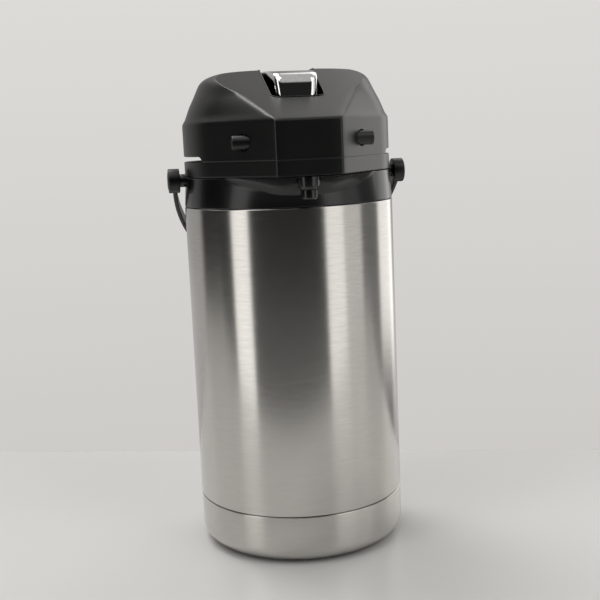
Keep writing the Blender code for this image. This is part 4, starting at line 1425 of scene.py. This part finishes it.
# %% Building and baking a tree
def geometry_tree(name, inputs):
    """A Geometry Nodes group with named inputs, returned with its two end nodes."""
    tree = bpy.data.node_groups.new(name, "GeometryNodeTree")
    tree.interface.new_socket("Geometry", in_out="INPUT", socket_type="NodeSocketGeometry")
    tree.interface.new_socket("Geometry", in_out="OUTPUT", socket_type="NodeSocketGeometry")
    for label, kind in inputs.items():
        tree.interface.new_socket(label, in_out="INPUT", socket_type="NodeSocket" + kind)
    return tree, tree.nodes.new("NodeGroupInput"), tree.nodes.new("NodeGroupOutput")


def close_tree(tree, source, result, geometry):
    """Smooth, realise and colour the geometry, and send it out."""
    smooth = tree.nodes.new("GeometryNodeSetShadeSmooth")
    realise = tree.nodes.new("GeometryNodeRealizeInstances")
    paint = tree.nodes.new("GeometryNodeSetMaterial")
    tree.links.new(geometry, smooth.inputs["Geometry"])
    tree.links.new(smooth.outputs["Geometry"], realise.inputs["Geometry"])
    tree.links.new(realise.outputs["Geometry"], paint.inputs["Geometry"])
    tree.links.new(source.outputs["Material"], paint.inputs["Material"])
    tree.links.new(paint.outputs["Geometry"], result.inputs["Geometry"])


def bake_tree(name, tree, values, bm=None, sharp=40.0):
    """Run a tree on a mesh and keep the result as a plain mesh."""
    piece = finish_mesh(name, bm or bmesh.new())
    modifier = piece.modifiers.new("pattern", "NODES")
    modifier.node_group = tree
    for item in tree.interface.items_tree:
        if item.in_out == "INPUT" and item.name in values:
            modifier[item.identifier] = values[item.name]
    apply_modifiers(piece)
    piece.data.set_sharp_from_angle(angle=math.radians(sharp))
    return piece


# %% Springs
def spring_tree():
    """A round wire wound into a spring that stands on Z, then turned and moved into place."""
    tree, source, result = geometry_tree("wire spring", {
        "Radius": "Float", "Wire Radius": "Float", "Height": "Float", "Turns": "Float",
        "Turn": "Vector", "Place": "Vector", "Material": "Material",
    })
    spiral = add_node(tree, "GeometryNodeCurveSpiral", Resolution=28)
    wire = add_node(tree, "GeometryNodeCurvePrimitiveCircle", Resolution=10)
    solid = tree.nodes.new("GeometryNodeCurveToMesh")
    solid.inputs["Fill Caps"].default_value = True
    move = tree.nodes.new("GeometryNodeTransform")
    links = tree.links
    links.new(source.outputs["Radius"], spiral.inputs["Start Radius"])
    links.new(source.outputs["Radius"], spiral.inputs["End Radius"])
    links.new(source.outputs["Height"], spiral.inputs["Height"])
    links.new(source.outputs["Turns"], spiral.inputs["Rotations"])
    links.new(source.outputs["Wire Radius"], wire.inputs["Radius"])
    links.new(spiral.outputs["Curve"], solid.inputs["Curve"])
    links.new(wire.outputs["Curve"], solid.inputs["Profile Curve"])
    links.new(solid.outputs["Mesh"], move.inputs["Geometry"])
    links.new(source.outputs["Turn"], move.inputs["Rotation"])
    links.new(source.outputs["Place"], move.inputs["Translation"])
    close_tree(tree, source, result, move.outputs["Geometry"])
    return tree


SPRING = spring_tree()
bellows_low, bellows_high = span("bellows", Z)
SPRINGS = {
    "bellows_return_spring": ("bellows_spring", {
        "Radius": 22.0 * MM, "Wire Radius": 0.9 * MM, "Turns": 4.0,
        "Height": (bellows_high - bellows_low - 2.2) * MM, "Turn": (0.0, 0.0, 0.0),
        "Place": (0.0, 0.0, (bellows_low + 1.1) * MM), "Material": FASTENER}),
    "latch_button_spring": ("latch_spring", {
        "Radius": 2.9 * MM, "Wire Radius": 0.45 * MM, "Turns": 7.0, "Height": 49.2 * MM,
        "Turn": (0.0, math.radians(90), 0.0),
        "Place": (-24.6 * MM, -LATCH_FRONT * MM, LATCH_Z * MM), "Material": FASTENER}),
}
for name, (node, values) in SPRINGS.items():
    spring = settle(bake_tree(name, SPRING, values), FASTENER, "lid", "bright_steel", node)
    if node == "bellows_spring":
        shorten(spring)
    print(spring.name, len(spring.data.polygons), "faces")


# %% Screws on a circle
def screw_tree():
    """Copies of the incoming screw on a circle of points."""
    tree, source, result = geometry_tree("screws on a circle", {
        "Count": "Int", "Circle Radius": "Float", "First Angle": "Float",
        "Material": "Material",
    })
    links = tree.links
    index = tree.nodes.new("GeometryNodeInputIndex")
    step = maths(tree, "DIVIDE", math.tau, source.outputs["Count"])
    swing = maths(tree, "MULTIPLY", index.outputs[0], step)
    angle = maths(tree, "ADD", swing, source.outputs["First Angle"])
    place = tree.nodes.new("ShaderNodeCombineXYZ")
    links.new(maths(tree, "MULTIPLY", maths(tree, "COSINE", angle),
                    source.outputs["Circle Radius"]), place.inputs["X"])
    links.new(maths(tree, "MULTIPLY", maths(tree, "SINE", angle),
                    source.outputs["Circle Radius"]), place.inputs["Y"])
    points = tree.nodes.new("GeometryNodePoints")
    links.new(source.outputs["Count"], points.inputs["Count"])
    links.new(place.outputs[0], points.inputs["Position"])
    copies = tree.nodes.new("GeometryNodeInstanceOnPoints")
    links.new(points.outputs[0], copies.inputs["Points"])
    links.new(source.outputs["Geometry"], copies.inputs["Instance"])
    close_tree(tree, source, result, copies.outputs["Instances"])
    return tree


def one_screw(head_low, head_high, tip):
    """A pan-head screw on Z with a cross recess. Its tip may be above or below the head."""
    down = tip < head_low
    under, face = (head_low, head_high) if down else (head_high, head_low)
    inward = -1.0 if down else 1.0
    profile = [(0, tip, 0), (1.0, tip), (1.5, tip - inward * 1.0), (1.5, under), (3.2, under),
               (3.2, face, 0.6), (0, face, 0)]
    head = turned(filleted(profile, 0.2), 32)
    cross = [(0.45, 1.9), (-0.45, 1.9), (-0.45, 0.45), (-1.9, 0.45), (-1.9, -0.45),
             (-0.45, -0.45), (-0.45, -1.9), (0.45, -1.9), (0.45, -0.45), (1.9, -0.45),
             (1.9, 0.45), (0.45, 0.45)]
    recess = bmesh.new()
    rings = [[recess.verts.new((x * size, y * size, face + inward * depth)) for x, y in cross]
             for depth, size in ((-0.5, 1.0), (1.0, 0.8))]
    join_rings(recess, rings[0], rings[1])
    recess.faces.new(rings[0])
    recess.faces.new(rings[1])
    made = boolean(finish_mesh("one_screw", head), [recess], "DIFFERENCE")
    shape = bmesh.new()
    shape.from_mesh(made.data)
    bmesh.ops.scale(shape, vec=(1 / MM, 1 / MM, 1 / MM), verts=shape.verts)
    bpy.data.objects.remove(made, do_unlink=True)
    return shape


SCREWS = screw_tree()
screw_sets = (
    ("housing_screw_set", "root", 3, HOUSING_SCREW_R, 90.0,
     one_screw(RING_TOP - 1.5, RING_TOP + 0.2, 304.5),
     ("housing_screw_1", "housing_screw_2", "housing_screw_3")),
    ("lid_screw_pair", "lid", 2, POST_X, 0.0,
     one_screw(PLATE_BOTTOM + 0.1, PLATE_BOTTOM + 1.4, 343.0),
     ("lid_screw_left", "lid_screw_right")),
)
for name, body, count, radius, first, shape, nodes in screw_sets:
    values = {"Count": count, "Circle Radius": radius * MM, "First Angle": math.radians(first),
              "Material": FASTENER}
    made = settle(bake_tree(name, SCREWS, values, shape), FASTENER, body, "bright_steel", *nodes)
    print(made.name, len(made.data.polygons), "faces")


# %% [markdown]
# ## Finger ribs on the carrying grip
#
# The sleeve has a row of low ribs on its outer side, where the fingers go. The tree walks
# along the sleeve's own line, resamples it and lays one small rounded bar at each point. The
# bar is turned to lie across the line, so the row bends with the handle.

# %% Ribs
def rib_tree():
    """Bars along the incoming line, each turned across it."""
    tree, source, result = geometry_tree("ribs along a line", {
        "Count": "Int", "Rib Radius": "Float", "Rib Length": "Float", "Across": "Vector",
        "Material": "Material",
    })
    links = tree.links
    line = tree.nodes.new("GeometryNodeMeshToCurve")
    even = tree.nodes.new("GeometryNodeResampleCurve")
    links.new(source.outputs["Geometry"], line.inputs["Mesh"])
    links.new(line.outputs["Curve"], even.inputs["Curve"])
    links.new(source.outputs["Count"], even.inputs["Count"])
    bar = add_node(tree, "GeometryNodeMeshCylinder", Vertices=16)
    links.new(source.outputs["Rib Radius"], bar.inputs["Radius"])
    links.new(source.outputs["Rib Length"], bar.inputs["Depth"])
    aim = tree.nodes.new("FunctionNodeAlignRotationToVector")
    aim.axis = "Z"
    links.new(source.outputs["Across"], aim.inputs["Vector"])
    copies = tree.nodes.new("GeometryNodeInstanceOnPoints")
    links.new(even.outputs["Curve"], copies.inputs["Points"])
    links.new(bar.outputs["Mesh"], copies.inputs["Instance"])
    links.new(aim.outputs["Rotation"], copies.inputs["Rotation"])
    close_tree(tree, source, result, copies.outputs["Instances"])
    return tree


def make_ribs():
    """The ribs of the bail's sleeve, half sunk in its outer face."""
    line = bmesh.new()
    path = bail_path(SLEEVE_SHIFT + RIB_LIFT, 72.0, 108.0, 40)
    points = [line.verts.new(point) for point in path]
    for first, second in zip(points, points[1:]):
        line.edges.new((first, second))
    values = {"Count": 15, "Rib Radius": 0.75 * MM, "Rib Length": 11.0 * MM,
              "Across": tuple(ACROSS_BAIL), "Material": SATIN}
    ribs = bake_tree("bail_grip_ribs", rib_tree(), values, line)
    return settle(ribs, SATIN, "bail", "black_satin")


print(make_ribs().name)


# %% [markdown]
# ## The studio
#
# The pot stands on a pale table in front of a pale backdrop, with soft light from both sides.
# Polished and brushed metal shows what is round it, so the studio is painted with panels of
# light in the sky around the pot. Each panel is a soft window in azimuth, measured from the
# camera's side of the pot, and in height. The camera itself only sees the backdrop, whose
# colour is painted darker towards its foot as painted shade.

# %% Panels of light
PANELS = (
    # from and to in azimuth, from and to in height, radiance, softness, all angles in degrees
    (-66.0, -45.5, -30.0, 62.0, 1.35, 4.0),
    (38.5, 60.0, -30.0, 62.0, 1.2, 4.0),
    (60.0, 84.0, -30.0, 55.0, 0.7, 5.0),
    (84.0, 114.0, -20.0, 30.0, 0.15, 6.0),
    (113.0, 150.0, -12.0, 30.0, 1.3, 8.0),
    (-180.0, -112.0, -20.0, 40.0, 0.4, 10.0),
    (140.0, 180.0, -20.0, 40.0, 0.4, 8.0),
    (116.0, 172.0, 36.0, 62.0, 1.1, 14.0),
    (-168.0, -128.0, 56.0, 76.0, 6.0, 8.0),
    (-152.0, -116.0, 40.0, 60.0, 3.0, 12.0),
)
FILL = 0.014
FLOOR = 0.12
FLOOR_TO = -6.0
FLOOR_SOFT = 6.0
OVERHEAD = 0.40
OVERHEAD_FROM = 34.0
OVERHEAD_SOFT = 14.0
PAST_ANY_ANGLE = 200.0
# The backdrop's two colours: the darker one at its foot is painted shade, the lighter one is higher
# up.
BACKDROP_SHADED_FOOT = (0.60, 0.585, 0.565)
BACKDROP_LIT_TOP = (0.74, 0.725, 0.70)


def window(tree, value, low, high, soft):
    """1 between two limits and 0 outside them, with soft ends."""
    ends = []
    for limit, rising in ((low, True), (high, False)):
        ramp = tree.nodes.new("ShaderNodeMapRange")
        ramp.interpolation_type = "SMOOTHSTEP"
        ramp.inputs["From Min"].default_value = limit - soft / 2
        ramp.inputs["From Max"].default_value = limit + soft / 2
        ramp.inputs["To Min"].default_value = 0.0 if rising else 1.0
        ramp.inputs["To Max"].default_value = 1.0 if rising else 0.0
        tree.links.new(value, ramp.inputs["Value"])
        ends.append(ramp.outputs["Result"])
    return maths(tree, "MULTIPLY", ends[0], ends[1])


def make_world():
    """Light panels for reflections and shade, and for the camera a backdrop painted darker towards
    its foot as painted shade.
    """
    world = bpy.data.worlds.new("studio")
    world.use_nodes = True
    bpy.context.scene.world = world
    tree = world.node_tree
    tree.nodes.clear()
    place = tree.nodes.new("ShaderNodeTexCoord")
    turn = tree.nodes.new("ShaderNodeMapping")
    turn.inputs["Rotation"].default_value = (0.0, 0.0, -CAMERA_AROUND)
    split = tree.nodes.new("ShaderNodeSeparateXYZ")
    tree.links.new(place.outputs["Generated"], turn.inputs["Vector"])
    tree.links.new(turn.outputs["Vector"], split.inputs[0])
    toward = maths(tree, "MULTIPLY", split.outputs["Y"], -1.0)
    azimuth = maths(tree, "DEGREES", maths(tree, "ARCTAN2", split.outputs["X"], toward))
    height = maths(tree, "DEGREES", maths(tree, "ARCSINE", split.outputs["Z"]))
    above = window(tree, height, OVERHEAD_FROM, PAST_ANY_ANGLE, OVERHEAD_SOFT)
    light = maths(tree, "ADD", FILL, maths(tree, "MULTIPLY", above, OVERHEAD))
    below = window(tree, height, -PAST_ANY_ANGLE, FLOOR_TO, FLOOR_SOFT)
    light = maths(tree, "ADD", light, maths(tree, "MULTIPLY", below, FLOOR))
    for first, last, low, high, radiance, soft in PANELS:
        panel = maths(tree, "MULTIPLY", window(tree, azimuth, first, last, soft),
                      window(tree, height, low, high, soft))
        light = maths(tree, "ADD", light, maths(tree, "MULTIPLY", panel, radiance))
    studio = tree.nodes.new("ShaderNodeBackground")
    studio.inputs["Color"].default_value = (1.0, 0.985, 0.96, 1.0)
    tree.links.new(light, studio.inputs["Strength"])
    # Painted shade on the backdrop: its colour grows darker towards its foot, graded by height.
    backdrop_painted_shade = tree.nodes.new("ShaderNodeMapRange")
    backdrop_painted_shade.inputs["From Min"].default_value = -20.0
    backdrop_painted_shade.inputs["From Max"].default_value = 12.0
    tree.links.new(height, backdrop_painted_shade.inputs["Value"])
    ramp = tree.nodes.new("ShaderNodeValToRGB")
    ramp.color_ramp.elements[0].color = (*BACKDROP_SHADED_FOOT, 1.0)
    ramp.color_ramp.elements[1].color = (*BACKDROP_LIT_TOP, 1.0)
    tree.links.new(backdrop_painted_shade.outputs["Result"], ramp.inputs["Fac"])
    backdrop = tree.nodes.new("ShaderNodeBackground")
    tree.links.new(ramp.outputs["Color"], backdrop.inputs["Color"])
    path = tree.nodes.new("ShaderNodeLightPath")
    mix = tree.nodes.new("ShaderNodeMixShader")
    result = tree.nodes.new("ShaderNodeOutputWorld")
    tree.links.new(path.outputs["Is Camera Ray"], mix.inputs["Fac"])
    tree.links.new(studio.outputs[0], mix.inputs[1])
    tree.links.new(backdrop.outputs[0], mix.inputs[2])
    tree.links.new(mix.outputs[0], result.inputs["Surface"])
    return world


print(make_world().name, "with", len(PANELS), "panels")


# %% Table
TABLE_HALF_WIDE = 1600.0
TABLE_FRONT = -430.0
TABLE_BACK = 218.0
TABLE_THICK = 40.0
TABLE_TURN = CAMERA_AROUND - math.radians(7.9)


def make_table():
    """A pale table top that the pot stands on."""
    bm = block((-TABLE_HALF_WIDE, TABLE_HALF_WIDE), (TABLE_FRONT, TABLE_BACK), (-TABLE_THICK, 0.0))
    bmesh.ops.bevel(bm, geom=bm.edges[:], offset=4.0, segments=4, affect="EDGES")
    table = finish_mesh("table_top", placed(bm, turn=Matrix.Rotation(TABLE_TURN, 4, "Z")))
    finish, tree, shader = start_material("pale_table_top", (0.72, 0.72, 0.71), 0.3)
    grain = use_group(tree, GRAIN, Grain_Scale=300.0, Drift_Scale=3.0, Roughness=0.3, Drift=0.1)
    tree.links.new(grain.outputs["Roughness"], shader.inputs["Roughness"])
    table.data.materials.append(finish)
    return table


print(make_table().name)


# %% Soft light from above
def make_softbox(name, place, size, power, aim):
    """A square soft light that faces a point."""
    data = bpy.data.lights.new(name, "AREA")
    data.shape = "SQUARE"
    data.size = size * MM
    data.energy = power
    lamp = bpy.data.objects.new(name, data)
    lamp.location = Vector(place) * MM
    direction = Vector(aim) * MM - lamp.location
    lamp.rotation_euler = direction.to_track_quat("-Z", "Y").to_euler()
    bpy.context.scene.collection.objects.link(lamp)
    return lamp


print(make_softbox("softbox_above", (-500, -300, 1500), 900, 3.5, (0, 0, 150)).name)
